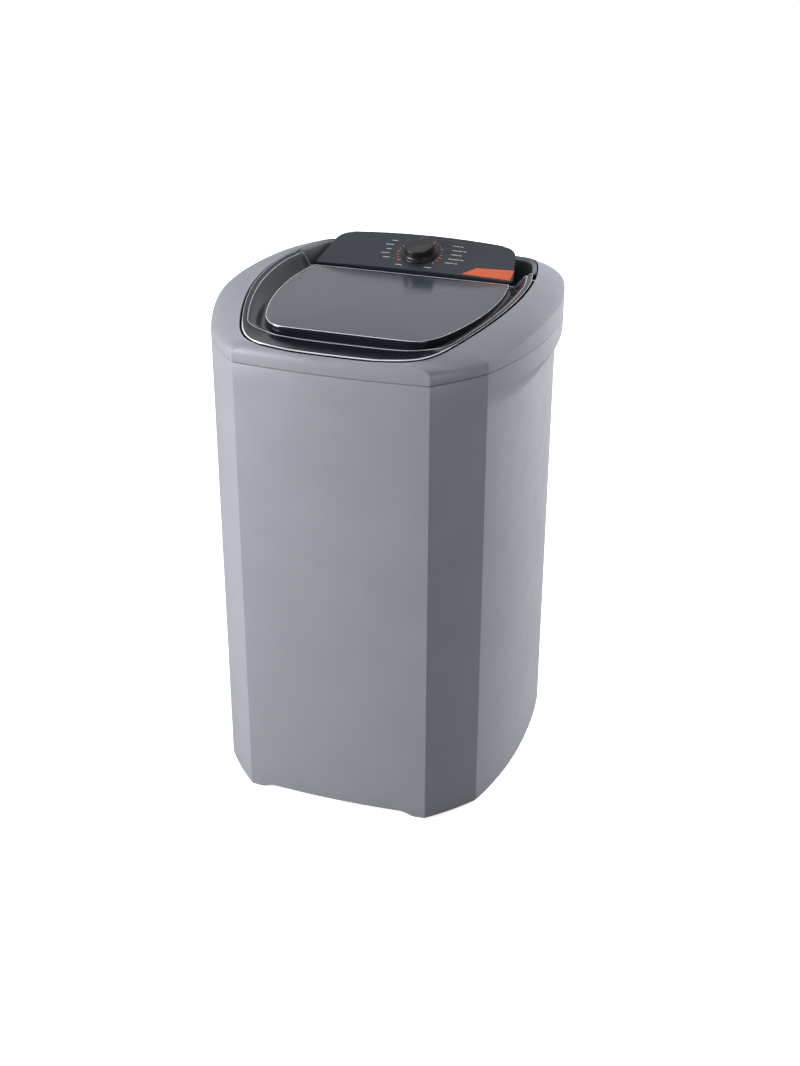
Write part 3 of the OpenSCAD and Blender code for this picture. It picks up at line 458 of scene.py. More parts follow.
# painted sheen: the console rim is the lid's dark plastic, its grey standing in for the light its
# gloss catches at the back
RIM_GREY_PAINTED_SHEEN = plastic("console_rim", (0.110, 0.115, 0.125), 0.30, mottle=0.05, dust=0.006)
PANEL = plastic("panel_slate", (0.020, 0.027, 0.035), 0.42, grain=0.25, mottle=0.05, specular=0.35)
WELL = plastic("console_black", (0.012, 0.013, 0.014), 0.40, grain=0.2, mottle=0.08, specular=0.35)
KNOB = plastic("knob_black", (0.012, 0.011, 0.012), 0.32, grain=0.15, mottle=0.05, specular=0.4)
KNOB_TOP = plastic("knob_face", (0.026, 0.028, 0.037), 0.34, mottle=0.05, specular=0.3)
ORANGE = plastic("badge_orange", (0.74, 0.125, 0.036), 0.40, mottle=0.05, specular=0.3)
INK = plastic("label_ink", (0.55, 0.56, 0.58), 0.5, mottle=0.05)
# painted shade: near black for the grey ring's inner wall, standing in for the shadow in the gap
# round the lid
GAP_PAINTED_SHADE = plastic("gap_shade", (0.020, 0.021, 0.024), 0.55, mottle=0.05)
COLLAR = plastic("collar_grey", (0.05, 0.053, 0.056), 0.45, grain=0.3, mottle=0.08)
BLACK = plastic("black_plastic", (0.020, 0.020, 0.022), 0.55, grain=0.4, mottle=0.1)
RUBBER = plastic(
    "black_rubber", (0.014, 0.014, 0.014), 0.75, grain=0.6, grain_scale=500, mottle=0.15
)
WHITE = plastic("white_plastic", (0.72, 0.71, 0.68), 0.45, grain=0.2, mottle=0.04)
TUB = plastic("tub_white", (0.70, 0.71, 0.72), 0.30, grain=0.12, mottle=0.03, coat=0.1)
STEEL = plastic("zinc_steel", (0.50, 0.51, 0.52), 0.32, metallic=1.0, grain=0.2, mottle=0.10)
BRONZE = plastic("bush_bronze", (0.42, 0.27, 0.12), 0.40, metallic=1.0, grain=0.3, mottle=0.12)
ALLOY = plastic(
    "cast_alloy", (0.48, 0.49, 0.50), 0.45, metallic=1.0, grain=0.6, grain_scale=400, mottle=0.1
)
PAINT = plastic("dark_paint", (0.05, 0.05, 0.055), 0.42, grain=0.3, mottle=0.08)
IRON = plastic("rotor_iron", (0.18, 0.18, 0.18), 0.50, metallic=1.0, grain=0.5, mottle=0.15)
BLUE = plastic("filter_blue", (0.08, 0.20, 0.42), 0.45, grain=0.3, mottle=0.06)
GREY = plastic("dark_grey_plastic", (0.07, 0.075, 0.08), 0.42, grain=0.3, mottle=0.06)


# ---- cabinet ----


def foot_edge(p):
    """Bottom edge of the cabinet: low at the corners and arched across the front and back."""
    across = np.abs(p[:, 1]) > HALF_D - 12
    flat = 1 - smooth((np.abs(p[:, 0]) - ARCH_X) / ARCH_FADE)
    return FOOT_LOW + ARCH * np.where(across, flat, 0.0)


def cut(piece, cutters):
    """Cuts boxes or rods, given as points in millimetres and faces, out of a piece."""
    verts, faces, first = [], [], 0
    for v, f in cutters:
        verts.append(v)
        faces += [tuple(i + first for i in face) for face in f]
        first += len(v)
    mesh = bpy.data.meshes.new("cutter")
    mesh.from_pydata([tuple(v) for v in np.vstack(verts) * MM], [], faces)
    bm = bmesh.new()
    bm.from_mesh(mesh)
    bmesh.ops.recalc_face_normals(bm, faces=bm.faces)
    bm.to_mesh(mesh)
    bm.free()
    tool = bpy.data.objects.new("cutter", mesh)
    bpy.context.scene.collection.objects.link(tool)
    modifier = piece.modifiers.new("cut", "BOOLEAN")
    modifier.operation = "DIFFERENCE"
    modifier.solver = "EXACT"
    modifier.object = tool
    bpy.context.view_layer.update()
    graph = bpy.context.evaluated_depsgraph_get()
    result = bpy.data.meshes.new_from_object(piece.evaluated_get(graph))
    piece.modifiers.clear()
    piece.data = result
    bpy.data.objects.remove(tool)


def crisp_uprights(piece, degrees):
    """Keeps the upright edges over that many degrees sharp."""
    bm = bmesh.new()
    bm.from_mesh(piece.data)
    for e in bm.edges:
        a, b = e.verts
        if abs(a.co.z - b.co.z) > 0.8 * e.calc_length() and len(e.link_faces) == 2:
            if e.calc_face_angle() > math.radians(degrees):
                e.smooth = False
    bm.to_mesh(piece.data)
    bm.free()


def block(centre, size):
    """A box's points and faces."""
    c, s = np.array(centre, float), np.array(size, float) / 2
    corners = np.array([[x, y, z] for x in (-1, 1) for y in (-1, 1) for z in (-1, 1)]) * s + c
    faces = [(0, 1, 3, 2), (4, 6, 7, 5), (0, 4, 5, 1), (2, 3, 7, 6), (0, 2, 6, 4), (1, 5, 7, 3)]
    return corners, faces


def rod_y(x, y, z, r, length, count=40):
    """A rod along Y, centred on y."""
    rows = [
        np.c_[p[:, 0] + x, np.full(count, y + end), p[:, 1] + z]
        for end in (-length / 2, length / 2)
        for p in lathe([(r, 0)], count)
    ]
    return skin(rows, tube=False)


POCKET, POCKET_DEEP, POCKET_PLATE = 64.0, 28.0, 2.6
SPIGOT_HOLE = 17.0  # half width of the square hole in the pocket's floor
GLAND_R = 9.0
COVER_LAP = 24  # by how much the rear cover is larger than its opening
CUT_DEEP = 40


def cabinet(spigot):
    """The grey shell: foot, walls, cove and top band outside, and back down inside."""
    rows = []
    for g, up in ((-2.4, 0.5), (-1.7, 0.0), (-0.9, 0.3), (-0.3, 1.3), (0, 3.5)):
        p = grow(BODY_LOOP, g)
        rows.append(np.c_[p, foot_edge(BODY_LOOP) + up])
    cove_low = SEAM - BAND - COVE
    for z in np.linspace(60, cove_low - 12, 8):
        rows.append(at_z(BODY_LOOP, z))
    for t in steps(16, True):
        share = smooth(t)
        rows.append(at_z(BODY_LOOP * (1 - share) + SEAM_LOOP * share, cove_low + COVE * t))
    rows.append(at_z(SEAM_LOOP, SEAM - BAND + 4))
    for g, down in ((0, 1.6), (-0.25, 0.7), (-0.9, 0.1), (-WALL, 0.0)):
        rows.append(at_z(grow(SEAM_LOOP, g), SEAM - down))
    for t in steps(8, True)[::-1]:
        share = smooth(t)
        p = BODY_LOOP * (1 - share) + SEAM_LOOP * share
        rows.append(at_z(grow(p, -WALL), cove_low - 1 + COVE * t))
    p = grow(BODY_LOOP, -WALL)
    rows.append(np.c_[p, foot_edge(BODY_LOOP) + 2.5])
    piece = make("cabinet_shell", *skin(rows), SHELL, BASE_BODY, "shell_plastic", ["cabinet"])
    cover_low, cover_high = low("rear_cover"), high("rear_cover")
    cover, size = (cover_low + cover_high) / 2, cover_high - cover_low
    gland = middle_of("cord_gland")
    opening = (size.x - COVER_LAP, CUT_DEEP, size.z - COVER_LAP)
    cutters = [
        block((cover.x, HALF_D, cover.z), opening),
        block((spigot.x, HALF_D + 6, spigot.z), (POCKET, CUT_DEEP, POCKET)),
        rod_y(gland.x, HALF_D, gland.z, GLAND_R, CUT_DEEP),
    ]
    cut(piece, cutters)
    piece.data.set_sharp_from_angle(angle=math.radians(SHARP))
    crisp_uprights(piece, 8)


def drain_pocket(spigot):
    """The liner of the pocket round the drain spigot, a box open to the back."""
    out = POCKET / 2
    back, front = HALF_D - 1.2, HALF_D - POCKET_DEEP
    corners = np.array([[-1, -1], [1, -1], [1, 1], [-1, 1]], float)

    def ring(half, y):
        x, z = corners[:, 0] * half + spigot.x, corners[:, 1] * half + spigot.z
        return np.c_[x, np.full(4, y), z]

    rows = [
        ring(out + POCKET_PLATE, back),
        ring(out + POCKET_PLATE, front - POCKET_PLATE),
        ring(SPIGOT_HOLE, front - POCKET_PLATE),
        ring(SPIGOT_HOLE, front),
        ring(out - 1.5, front),
        ring(out, front + 1.5),
        ring(out, back),
    ]
    make("drain_pocket", *skin(rows), SHELL, BASE_BODY, "shell_plastic")


# ---- top ring ----

RING_SCOOP, RING_SCOOP_FADE = 5.0, 75
CREASED_ROWS = 24  # rows of the crown over which the facets' creases stay sharp
GAP_ROWS = 6  # rows of the inner wall and ledge that are seen in the gap round the lid, painted dark as the gap's shade


def inset(p, front, back):
    """A loop moved inwards by one distance ahead of the console and another beside it."""
    g = front + (back - front) * smooth((p[:, 1] - LEDGE_TURN_Y) / LEDGE_TURN)
    return grow(p, -g)


def top_ring():
    """The grey crown from the seam up to the opening, its ledge, and back down inside."""
    sharp = smooth((SEAM_LOOP[:, 1] + HALF_D - 9) / 45)
    rim = rim_z(OPENING[:, 1])

    def crown_row(g, t):
        o, e = grow(SEAM_LOOP, g), grow(OPENING, -g / 3)
        c = np.c_[o, crease_z(o[:, 1]) + g]
        r = np.c_[e, rim_z(e[:, 1]) + g]
        k = np.c_[o + (e - o) * 0.12, c[:, 2] + (r[:, 2] - c[:, 2]) * (0.82 - 0.5 * sharp)]
        p = (1 - t) ** 2 * c + 2 * t * (1 - t) * k + t * t * r
        away = np.linalg.norm(p[:, :2] - e, axis=1)
        near = np.exp(-((away / 10.0) ** 2)) * (g == 0)
        p[:, 2] -= scoop(p, RING_SCOOP, RING_SCOOP_FADE) * near
        return p

    rows = [
        at_z(grow(SEAM_LOOP, -0.9), SEAM + 0.8),
        at_z(grow(SEAM_LOOP, -0.2), SEAM + 1.1),
        at_z(SEAM_LOOP, SEAM + 2.0),
    ]
    rows += [crown_row(0, t) for t in np.linspace(0, 0.97, 30)]
    hollow = scoop(OPENING, RING_SCOOP, RING_SCOOP_FADE)
    for g, down in ((0.9, 0.05), (0.25, 0.5), (-0.3, 1.3), (-0.6, 2.6)):
        rows.append(np.c_[grow(OPENING, g), rim - down - hollow])
    wall_first = len(rows) - 1
    edge = inset(OPENING, LEDGE_W, 1.6)
    edge_z = rim_z(edge[:, 1])
    rows.append(np.c_[grow(OPENING, -0.8), rim - LEDGE_DROP + 1])
    rows.append(np.c_[grow(OPENING, -1.4), rim - LEDGE_DROP])
    rows.append(np.c_[grow(edge, 0.5), edge_z - LEDGE_DROP])
    rows.append(np.c_[edge, edge_z - LEDGE_DROP - 0.5])
    rows.append(np.c_[edge, edge_z - LEDGE_DROP - WALL])
    rows.append(np.c_[grow(OPENING, 2.2), rim - LEDGE_DROP - WALL])
    rows += [crown_row(-WALL, t) for t in (0.9, 0.75, 0.6, 0.45, 0.3, 0.15, 0)]
    rows.append(at_z(grow(SEAM_LOOP, -WALL), SEAM + 0.8))
    piece = make("ring_shell", *skin(rows), SHELL, BASE_BODY, "shell_plastic", ["top_ring"])
    for e in piece.data.edges:
        a, b = e.vertices
        if a % N == b % N and a % N in CREASES and max(a, b) < N * CREASED_ROWS:
            e.use_edge_sharp = True
    # the inner wall seen in the gap gets the painted shade
    piece.data.materials.append(GAP_PAINTED_SHADE)
    for f in piece.data.polygons:
        if wall_first <= f.index // N < wall_first + GAP_ROWS:
            f.material_index = 1


# ---- lid ----

LID_SCOOP, LID_SCOOP_FADE = 4.0, 70
LID_PLATE = 3
ISLAND_MIDDLE = np.array([0.0, -40.0])
ISLAND_CROWN = 4.0  # how far the island's face swells towards its middle
LIP_T = 0.022  # share of the flange's width at which the lip is highest
BOSS_X, BOSS_R, BOSS_LONG, PIN_HOLE = 230.7, 6.0, 10, 3.1

FOOT_LOOP = grow(ISLAND, 2.5)
FOOT_Z = gutter_z(ISLAND[:, 1])
# the lid's back edge is low between the wings, and its front lip dips for fingers
RISE = np.where(LID_LOOP[:, 1] < 100, 1.0, smooth((np.abs(LID_LOOP[:, 0]) - 203) / 30))
LIP_Z = FOOT_Z + 3 + (rim_z(LID_LOOP[:, 1]) - FOOT_Z - 3) * RISE
LIP_Z = LIP_Z - scoop(LID_LOOP, LID_SCOOP, LID_SCOOP_FADE)
# the crest stays near the lip along the sides and draws towards the island's foot at the front
AHEAD = smooth((-212 - LID_LOOP[:, 1]) / 72)
CREST_T = 0.25 + 0.65 * AHEAD
CREST_F = 0.08 + 0.42 * AHEAD


def flange(t, f, d):
    """Points at share t from the lip to the island's foot, and share f of the way down, less d."""
    along = np.reshape(t, (-1, 1))
    p = LID_LOOP * (1 - along) + FOOT_LOOP * along
    return np.c_[p, LIP_Z * (1 - f) + FOOT_Z * f - d]


def island(g, d):
    """The island's edge, moved out by g and down by d."""
    p = grow(ISLAND, g)
    return np.c_[p, island_z(p[:, 1]) - d]


def lid_shell():
    """From the middle of the underside, out round the lip and in to the middle of the island."""
    edge = island(-4.5, LID_PLATE)
    rows = disc_rows(edge, ISLAND_MIDDLE, (0.5, 0.9, 1.0), lambda x, y: island_z(y) - LID_PLATE)
    p = grow(ISLAND, -2.8)
    rows.append(np.c_[p, gutter_z(p[:, 1]) - 1])
    under = ((0.94, 1, 3), (0.6, 0.86, 3), (0.3, 0.3, 3), (0.03, 0, 5.8), (0.0, 0, 4.8))
    lip = ((0, 0, 1.4), (0.006, 0, 0.5), (LIP_T, 0, 0), (0.04, 0, 0.2), (0.06, 0.01, 0.6))
    rows += [flange(*q) for q in under + lip]
    # a hollowed band up to the crest, then the flank down to the foot of the island
    for share in steps(8)[1:]:
        hollow = 0.6 + 0.9 * math.sin(math.pi * share)
        rows.append(flange(0.06 + (CREST_T - 0.06) * share, CREST_F * share, hollow))
    for t, d in ((-0.012, 0.35), (0, 0), (0.015, 0.4)):
        rows.append(flange(CREST_T + t, CREST_F, d))
    for share in steps(12)[1:]:
        t = CREST_T + (1 - CREST_T) * share
        rows.append(flange(t, CREST_F + (0.98 - CREST_F) * smooth(share * 1.05), 0.5))
    rows.append(flange(1, 0.98, 0.2))
    rows.append(np.c_[grow(ISLAND, 1.2), gutter_z(ISLAND[:, 1]) + 1.2])
    wall_rows = len(rows)
    for g, d in ((0.7, 5.0), (0.45, 2.2), (0.1, 1.1), (-0.6, 0.35), (-1.6, 0.05)):
        rows.append(island(g, d))
    top = island(-2.6, 0)
    for share in (1.0, 0.96, 0.9, 0.82, 0.72, 0.6, 0.47, 0.33, 0.2, 0.08):
        p = ISLAND_MIDDLE + (top[:, :2] - ISLAND_MIDDLE) * share
        rows.append(np.c_[p, island_z(p[:, 1]) + ISLAND_CROWN * (1 - share**2)])
    verts, faces = skin(rows, tube=False)
    piece = make("lid_shell", verts, faces, LID_DARK, "lid", "lid_plastic", ["lid"])
    # the island's face and its upper edge take the lighter painted reflection
    piece.data.materials.append(ISLAND_PAINTED_REFLECTION)
    top_first = (wall_rows + 3) * N
    bottom_cap = (len(rows) - 1) * N
    for f in piece.data.polygons:
        if f.index >= top_first and f.index != bottom_cap:
            f.material_index = 1


def lid_bosses():
    """Hinge bosses on the wings, round the two pins."""
    pin_z = high("hinge_pin_left").z - 3
    edge = BOSS_R - 0.6
    profile = [
        (PIN_HOLE, 0),
        (edge, 0),
        (BOSS_R, 0.6),
        (BOSS_R, BOSS_LONG - 0.6),
        (edge, BOSS_LONG),
        (PIN_HOLE, BOSS_LONG),
    ]
    for side in (-1, 1):
        rows = [
            np.c_[side * (BOSS_X - BOSS_LONG / 2 + r[:, 2]), LID_BACK + r[:, 0], pin_z + r[:, 1]]
            for r in lathe(profile, 40)
        ]
        name = f"lid_boss_{'left' if side < 0 else 'right'}"
        make(name, *skin(rows), LID_DARK, "lid", "lid_plastic")


def lid_highlight_beads():
    """Beads painted pale as highlights along the outer lip, the crest and the island's edge."""
    # the lip's and crest's painted highlights grow thicker towards the front, where they stand for
    # brighter light
    near = smooth((-200 - LID_LOOP[:, 1]) / 50)
    beads = [
        ("lid_lip_highlight", flange(LIP_T, 0, -0.25), 0.28 + 0.87 * near, 10, LID_HIGHLIGHT_PAINT),
        ("lid_crest_highlight", flange(CREST_T, CREST_F, 0.05), 0.70 + 0.15 * near, 8, CREST_HIGHLIGHT_PAINT),
        ("lid_island_rim_highlight", island(-0.5, 0.45), 0.55, 8, LID_HIGHLIGHT_PAINT),
    ]
    for name, path, radius, sides, material in beads:
        make(name, *skin(tube_along(path, radius, sides)), material, "lid", "lid_plastic")


# ---- control panel, console and knob ----

TILT = math.radians(18.2)
PANEL_Y = 152.8
PANEL_Z = SEAM + 37.1
PANEL_L = 109.2
PANEL_FRONT, PANEL_BACK = 196.9, 181.1  # half widths of its front and back edges
PANEL_THICK = 5
PANEL_MIDDLE = np.array([0.0, 55.0])
CROWN_R = 3600.0  # radius of the panel's bow
CONSOLE_BACK = 276.5
KNOB_V = 54.6  # how far up the panel the knob stands


def on_panel(p):
    """Points given across the panel, up its slope and out of it, as points of the machine."""
    p = np.asarray(p, float)
    c, s = math.cos(TILT), math.sin(TILT)
    return np.c_[p[:, 0], PANEL_Y + p[:, 1] * c - p[:, 2] * s, PANEL_Z + p[:, 1] * s + p[:, 2] * c]


def crown(x):
    """Height of the panel's bowed face."""
    return PANEL_THICK - x * x / 2 / CROWN_R


def panel_half(g):
    """Right half of the panel's outline, grown by g."""
    bow, r, front, back = 8.0, 30.0, PANEL_FRONT + g, PANEL_BACK + g
    x = (front - 5) * steps(16)
    near = np.c_[x, np.full(len(x), -g)]
    nose = [[front - 5, -g], [front - 2.2, 0.5 - g], [front - 0.6, 2.4 - g], [front, 6 - g]]
    t = steps(8, True)[1:]
    start = np.array([front, 6 - g])
    end = np.array([back + 1.5, PANEL_L + g - r - 2])
    flank = start + (end - start) * t[:, None]
    a = np.radians(np.arange(6, 90, 6))
    corner = np.c_[back + 1.5 - r * (1 - np.cos(a)), PANEL_L + g - r * (1 - np.sin(a)) - 2]
    x = (back - r) * (1 - steps(14, True))
    rear = np.c_[x, PANEL_L + g - 2 + bow * (1 - (x / (back - r + 30)) ** 2)]
    return np.vstack([near, nose, flank, corner, rear])


def control_panel():
    """The panel's bowed plate with its rounded edge."""
    outline = loop(panel_half(0.0))

    def row(g, d):
        p = grow(outline, g)
        return np.c_[p, crown(p[:, 0]) - d]

    rows = [row(-3, 4.0), row(0, 4.0), row(0, 1.6), row(-0.35, 0.7), row(-1.0, 0.2), row(-1.9, 0.0)]
    shares = (1, 0.9, 0.75, 0.55, 0.35, 0.15)
    rows += disc_rows(row(-2.2, 0), PANEL_MIDDLE, shares, lambda x, y: crown(x))
    verts, faces = skin(rows, tube=False)
    spot = on_panel(verts)
    make("panel_face", spot, faces, PANEL, BASE_BODY, "console_plastic", ["control_panel"])


def console_walls(floor):
    """Walls from under the panel down to the console's floor."""
    outline = loop(panel_half(-1.2))
    c, s = math.cos(TILT), math.sin(TILT)

    def wall_row(share, g):
        p = grow(outline, g)
        top = crown(p[:, 0]) - 4.1
        bottom = -(PANEL_Z + p[:, 1] * s - floor) / c
        pts = on_panel(np.c_[p, top + (bottom - top) * share])
        pts[:, 1] = np.minimum(pts[:, 1], CONSOLE_BACK + g)
        return pts

    rows = [wall_row(t, 0) for t in np.linspace(0, 1, 10)]
    rows += [wall_row(t, -3) for t in np.linspace(1, 0, 4)]
    make("console_walls", *skin(rows), PANEL, BASE_BODY, "console_plastic", ["console_housing"])


def console_floor(floor):
    """Bottom of the well that the panel stands in."""
    well = inset(OPENING, LEDGE_W + 6, 7)
    rear = well[well[:, 1] > LID_BACK + 8]
    order = np.argsort(np.arctan2(rear[:, 1] - 160, rear[:, 0]))
    rear = rear[order]
    rows = [at_z(rear, z) for z in (floor + 0.02, floor + 3)]
    make("console_floor", *skin(rows, tube=False), WELL, BASE_BODY, "console_plastic")


def console_rim(floor):
    """Rim round the back of the opening, in line with the lid's wings."""
    here = OPENING[:, 1] > WING_Y + 4
    top = rim_z(OPENING[:, 1])
    foot = np.full(len(top), floor + 2.0)
    # distance from the opening's edge and depth under the rim; no depth is the foot
    section = [
        (-2.6, 3.8), (-2.6, 2.0), (-2.9, 1.4), (-3.6, 1.2), (-5.5, 1.5), (-9.0, 2.9),
        (-10.4, 3.6), (-11.2, 4.8), (-11.6, 8.0), (-11.6, None), (-9.2, None), (-9.2, 6.0),
    ]
    rail = [np.c_[grow(OPENING, g), top - d if d else foot] for g, d in section]
    rows = [np.array([r[i] for r in rail]) for i in np.flatnonzero(here)]
    # the rim's grey is painted sheen over dark plastic
    make("console_rim", *skin(rows, tube=False), RIM_GREY_PAINTED_SHEEN, BASE_BODY, "console_plastic")


def badge():
    """Slanted orange plate in the panel's front right corner, with nothing on it."""
    edge = PANEL_FRONT - 4.6
    plan = np.array(
        [
            [99, 4.2], [edge - 1.2, 4.2], [edge - 0.4, 5], [edge - 0.4, 34],
            [edge - 1.6, 35.2], [121, 27], [119.4, 26], [98.6, 5.4],
        ],
        float,
    )
    pts = []
    for a, b in zip(plan, np.roll(plan, -1, 0)):
        count = max(1, int(np.linalg.norm(b - a) / 6))
        pts += [a + (b - a) * k / count for k in range(count)]
    plan = np.array(pts)
    middle = plan.mean(0)

    def row(g, d):
        p = middle + (plan - middle) * (1 - g)
        return np.c_[p, crown(p[:, 0]) + d]

    section = ((0, 0.02), (0, 0.55), (0.006, 0.8), (0.02, 0.9), (0.5, 0.9), (0.9, 0.9))
    verts, faces = skin([row(*q) for q in section], tube=False)
    make("badge_plate", on_panel(verts), faces, ORANGE, BASE_BODY, "badge_plastic", ["panel_badge"])


def strokes(name, bars, height, material, slot):
    """Thin raised bars on the panel, each (x, v, length, width, turn in degrees)."""
    corners = [(-1, -1), (1, -1), (1, 1), (-1, 1)]
    verts, faces = [], []
    for x, v, length, width, turn in bars:
        a = math.radians(turn)
        along, across = np.array([math.cos(a), math.sin(a)]), np.array([-math.sin(a), math.cos(a)])
        rows = []
        for g, d in ((0, 0.01), (0, height * 0.7), (0.12, height)):
            half_l, half_w = length / 2 - g, width / 2 - g
            p = np.array([[x, v] + along * i * half_l + across * j * half_w for i, j in corners])
            rows.append(np.c_[p, crown(p[:, 0]) + d])
        points, sides = skin(rows, tube=False, first=sum(len(q) for q in verts))
        verts.append(points)
        faces += sides
    make(name, on_panel(np.vstack(verts)), faces, material, BASE_BODY, slot)


SCALE_R, SCALE_MARKS, SCALE_STEP, SCALE_START = 43.0, 21, 12.8, -128
DASH_W = 1.8


def marks():
    """Generic scale round the knob and dashes where cycle names would stand."""
    white, orange = [], []
    for k in range(SCALE_MARKS):
        turn = 90 - (SCALE_START + k * SCALE_STEP)
        a = math.radians(turn)
        spot = (SCALE_R * math.cos(a), KNOB_V + SCALE_R * math.sin(a))
        if k % 3 == 0:
            orange.append((*spot, 6.5, 2.6, turn))
        elif k % 3 == 1:
            orange.append((*spot, 3.0, 2.0, turn))
        else:
            white.append((*spot, 3.0, 1.2, turn))
    rows = [(88, 14), (74, 20), (60, 13), (46, 22), (33, 17)]
    for i, (v, length) in enumerate(rows):
        near = 56 + 5 * math.sin(math.pi * i / 4)
        white.append((near + length / 2, v, length, DASH_W, 0))
        white.append((near + length + 5, v, 6, DASH_W, 0))
        white.append((-near - length / 2 + 3, v, length * 0.8, DASH_W, 0))
    white.append((28, 12, 15, DASH_W, 0))
    white.append((-30, 12, 13, DASH_W, 0))
    strokes("panel_marks_white", white, 0.12, INK, "white_plastic")
    strokes("panel_marks_orange", orange, 0.14, ORANGE, "badge_plastic")


KNOB_BASE_R, KNOB_GRIP_R, KNOB_TALL = 35.5, 28.5, 20.0
KNOB_START = crown(0) + 0.5


def turned(profile, count):
    """A closed turned shape about the knob's axis, from heights above the panel."""
    rows = lathe(profile, count)
    for r in rows:
        r[:, 1] += KNOB_V
        r[:, 2] += KNOB_START
    verts, faces = skin(rows, tube=False)
    return on_panel(verts), faces


def knob():
    """Flanged body, dished face and raised pointer."""
    base, grip, tall = KNOB_BASE_R, KNOB_GRIP_R, KNOB_TALL
    body = [
        (10, 0.0), (base - 0.6, 0.0), (base, 0.5), (base, 1.3), (base - 0.7, 2.0),
        (base - 2.5, 2.9), (grip + 3.6, 3.6), (grip + 1.8, 4.9), (grip + 1.0, 7.0),
        (grip + 0.5, 11.0), (grip, tall - 3), (grip - 0.25, tall - 1.6),
        (grip - 0.9, tall - 0.6), (grip - 2.0, tall),
    ]
    make("knob_body", *turned(body, 120), KNOB, "knob", "knob_plastic", ["timer_knob"], sharp=50)
    face = [
        (grip - 2.3, tall - 1.0), (grip - 2.3, tall + 0.05), (grip - 2.9, tall + 0.12),
        (grip - 3.6, tall - 0.15), (grip - 9, tall - 0.55), (2, tall - 0.6),
    ]
    make("knob_face", *turned(face, 96), KNOB_TOP, "knob", "knob_plastic")
    half, near, far = 1.3, 13, 25.0
    pointer = []
    for g, z in ((0, tall - 1.2), (0, tall + 0.35), (0.25, tall + 0.6)):
        x, y0, y1 = half - g, near + g, far - g
        p = np.array([[-x, y0], [x, y0], [x, y1], [-x, y1]])
        pointer.append(np.c_[p[:, 0], p[:, 1] + KNOB_V, np.full(4, z + KNOB_START)])
    verts, faces = skin(pointer, tube=False)
    make("knob_pointer", on_panel(verts), faces, GREY, "knob", "knob_plastic")


# ---- CAD nodes that keep their own shape ----


def dress(material, *names):
    """Gives CAD nodes a material in place of their own."""
    for name in names:
        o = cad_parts[name]
        o.data.materials.clear()
        o.data.materials.append(material)


def dress_nodes():
    """The materials of the nodes that show their CAD shape."""
    feet = [f"foot_{i}" for i in range(1, 5)]
    legs = [f"tub_leg_{i}" for i in range(1, 5)]
    dress(SHELL, "rear_cover")
    dress(COLLAR, "tub_collar")
    dress(BLACK, "base_plate", "drain_sump", "drain_spigot", *legs)
    dress(RUBBER, "lid_bumper_left", "lid_bumper_right", "shaft_seal", "cord_gland")
    dress(RUBBER, "drive_belt", *feet)
    dress(STEEL, "hinge_pin_left", "hinge_pin_right", "timer_shaft", "agitator_screw")
    dress(STEEL, "agitator_shaft", "pulley_nut", "motor_shaft", "capacitor_strap")
    dress(STEEL, "cover_screws", "ring_screws", "base_screws", "frame_bolts", "motor_bolts")
    dress(WHITE, "timer_unit", "capacitor", "terminal_block", "lint_filter_guide")
    dress(TUB, "wash_tub", "agitator")
    dress(GREY, "agitator_cap", "driven_pulley", "drain_pipe")
    dress(BRONZE, "upper_bush", "lower_bush")
    dress(ALLOY, "bearing_housing", "motor_pulley")
    dress(PAINT, "drive_frame", "motor_housing")
    dress(IRON, "motor_rotor")
    dress(BLUE, "lint_filter")


# ---- studio ----


def area_light(name, place, target, size, power, gloss=True):
    light = bpy.data.lights.new(name, "AREA")
    light.shape = "RECTANGLE"
    light.size, light.size_y = size
    light.energy = power
    o = bpy.data.objects.new(name, light)
    o.location = place
    o.rotation_euler = (Vector(target) - Vector(place)).to_track_quat("-Z", "Y").to_euler()
    o.visible_glossy = gloss
    bpy.context.scene.collection.objects.link(o)


ROOM_LEAN = (-0.50, 0.80, 0.30)  # towards the paler side of the room
ROOM_SPAN, ROOM_LEVELS = (-0.75, 0.85), (0.08, 0.62)
ROOM_COLOR = (0.94, 0.97, 1, 1)
PLAIN_WHITE = (1, 1, 1, 1)
FLOOR_REACH = 40.0
FLOOR_DIM, FLOOR_GLOW = (0.16, 0.16, 0.16, 1), 0.72


def seen_or_felt(tree, felt, seen, out):
    """One shader for camera rays and another for the light that reaches the machine."""
    path, mix = tree.nodes.new("ShaderNodeLightPath"), tree.nodes.new("ShaderNodeMixShader")
    tree.links.new(path.outputs["Is Camera Ray"], mix.inputs["Fac"])
    tree.links.new(felt, mix.inputs[1])
    tree.links.new(seen, mix.inputs[2])
    tree.links.new(mix.outputs["Shader"], out.inputs["Surface"])


def room():
    """A soft room, paler behind the machine and dimmer ahead and to the right; white to the eye."""
    world = bpy.data.worlds.new("studio")
    bpy.context.scene.world = world
    world.use_nodes = True
    nodes, links = world.node_tree.nodes, world.node_tree.links
    ray = nodes.new("ShaderNodeTexCoord")
    lean = nodes.new("ShaderNodeVectorMath")
    lean.operation = "DOT_PRODUCT"
    lean.inputs[1].default_value = ROOM_LEAN
    links.new(ray.outputs["Generated"], lean.inputs[0])
    level = nodes.new("ShaderNodeMapRange")
    level.interpolation_type = "SMOOTHSTEP"
    level.inputs["From Min"].default_value, level.inputs["From Max"].default_value = ROOM_SPAN
    level.inputs["To Min"].default_value, level.inputs["To Max"].default_value = ROOM_LEVELS
    links.new(lean.outputs["Value"], level.inputs["Value"])
    soft, plain = nodes["Background"], nodes.new("ShaderNodeBackground")
    links.new(level.outputs["Result"], soft.inputs["Strength"])
    soft.inputs["Color"].default_value = ROOM_COLOR
    plain.inputs["Color"].default_value = PLAIN_WHITE
    plain.inputs["Strength"].default_value = 1.0
    felt, seen = soft.outputs["Background"], plain.outputs["Background"]
    seen_or_felt(world.node_tree, felt, seen, nodes["World Output"])


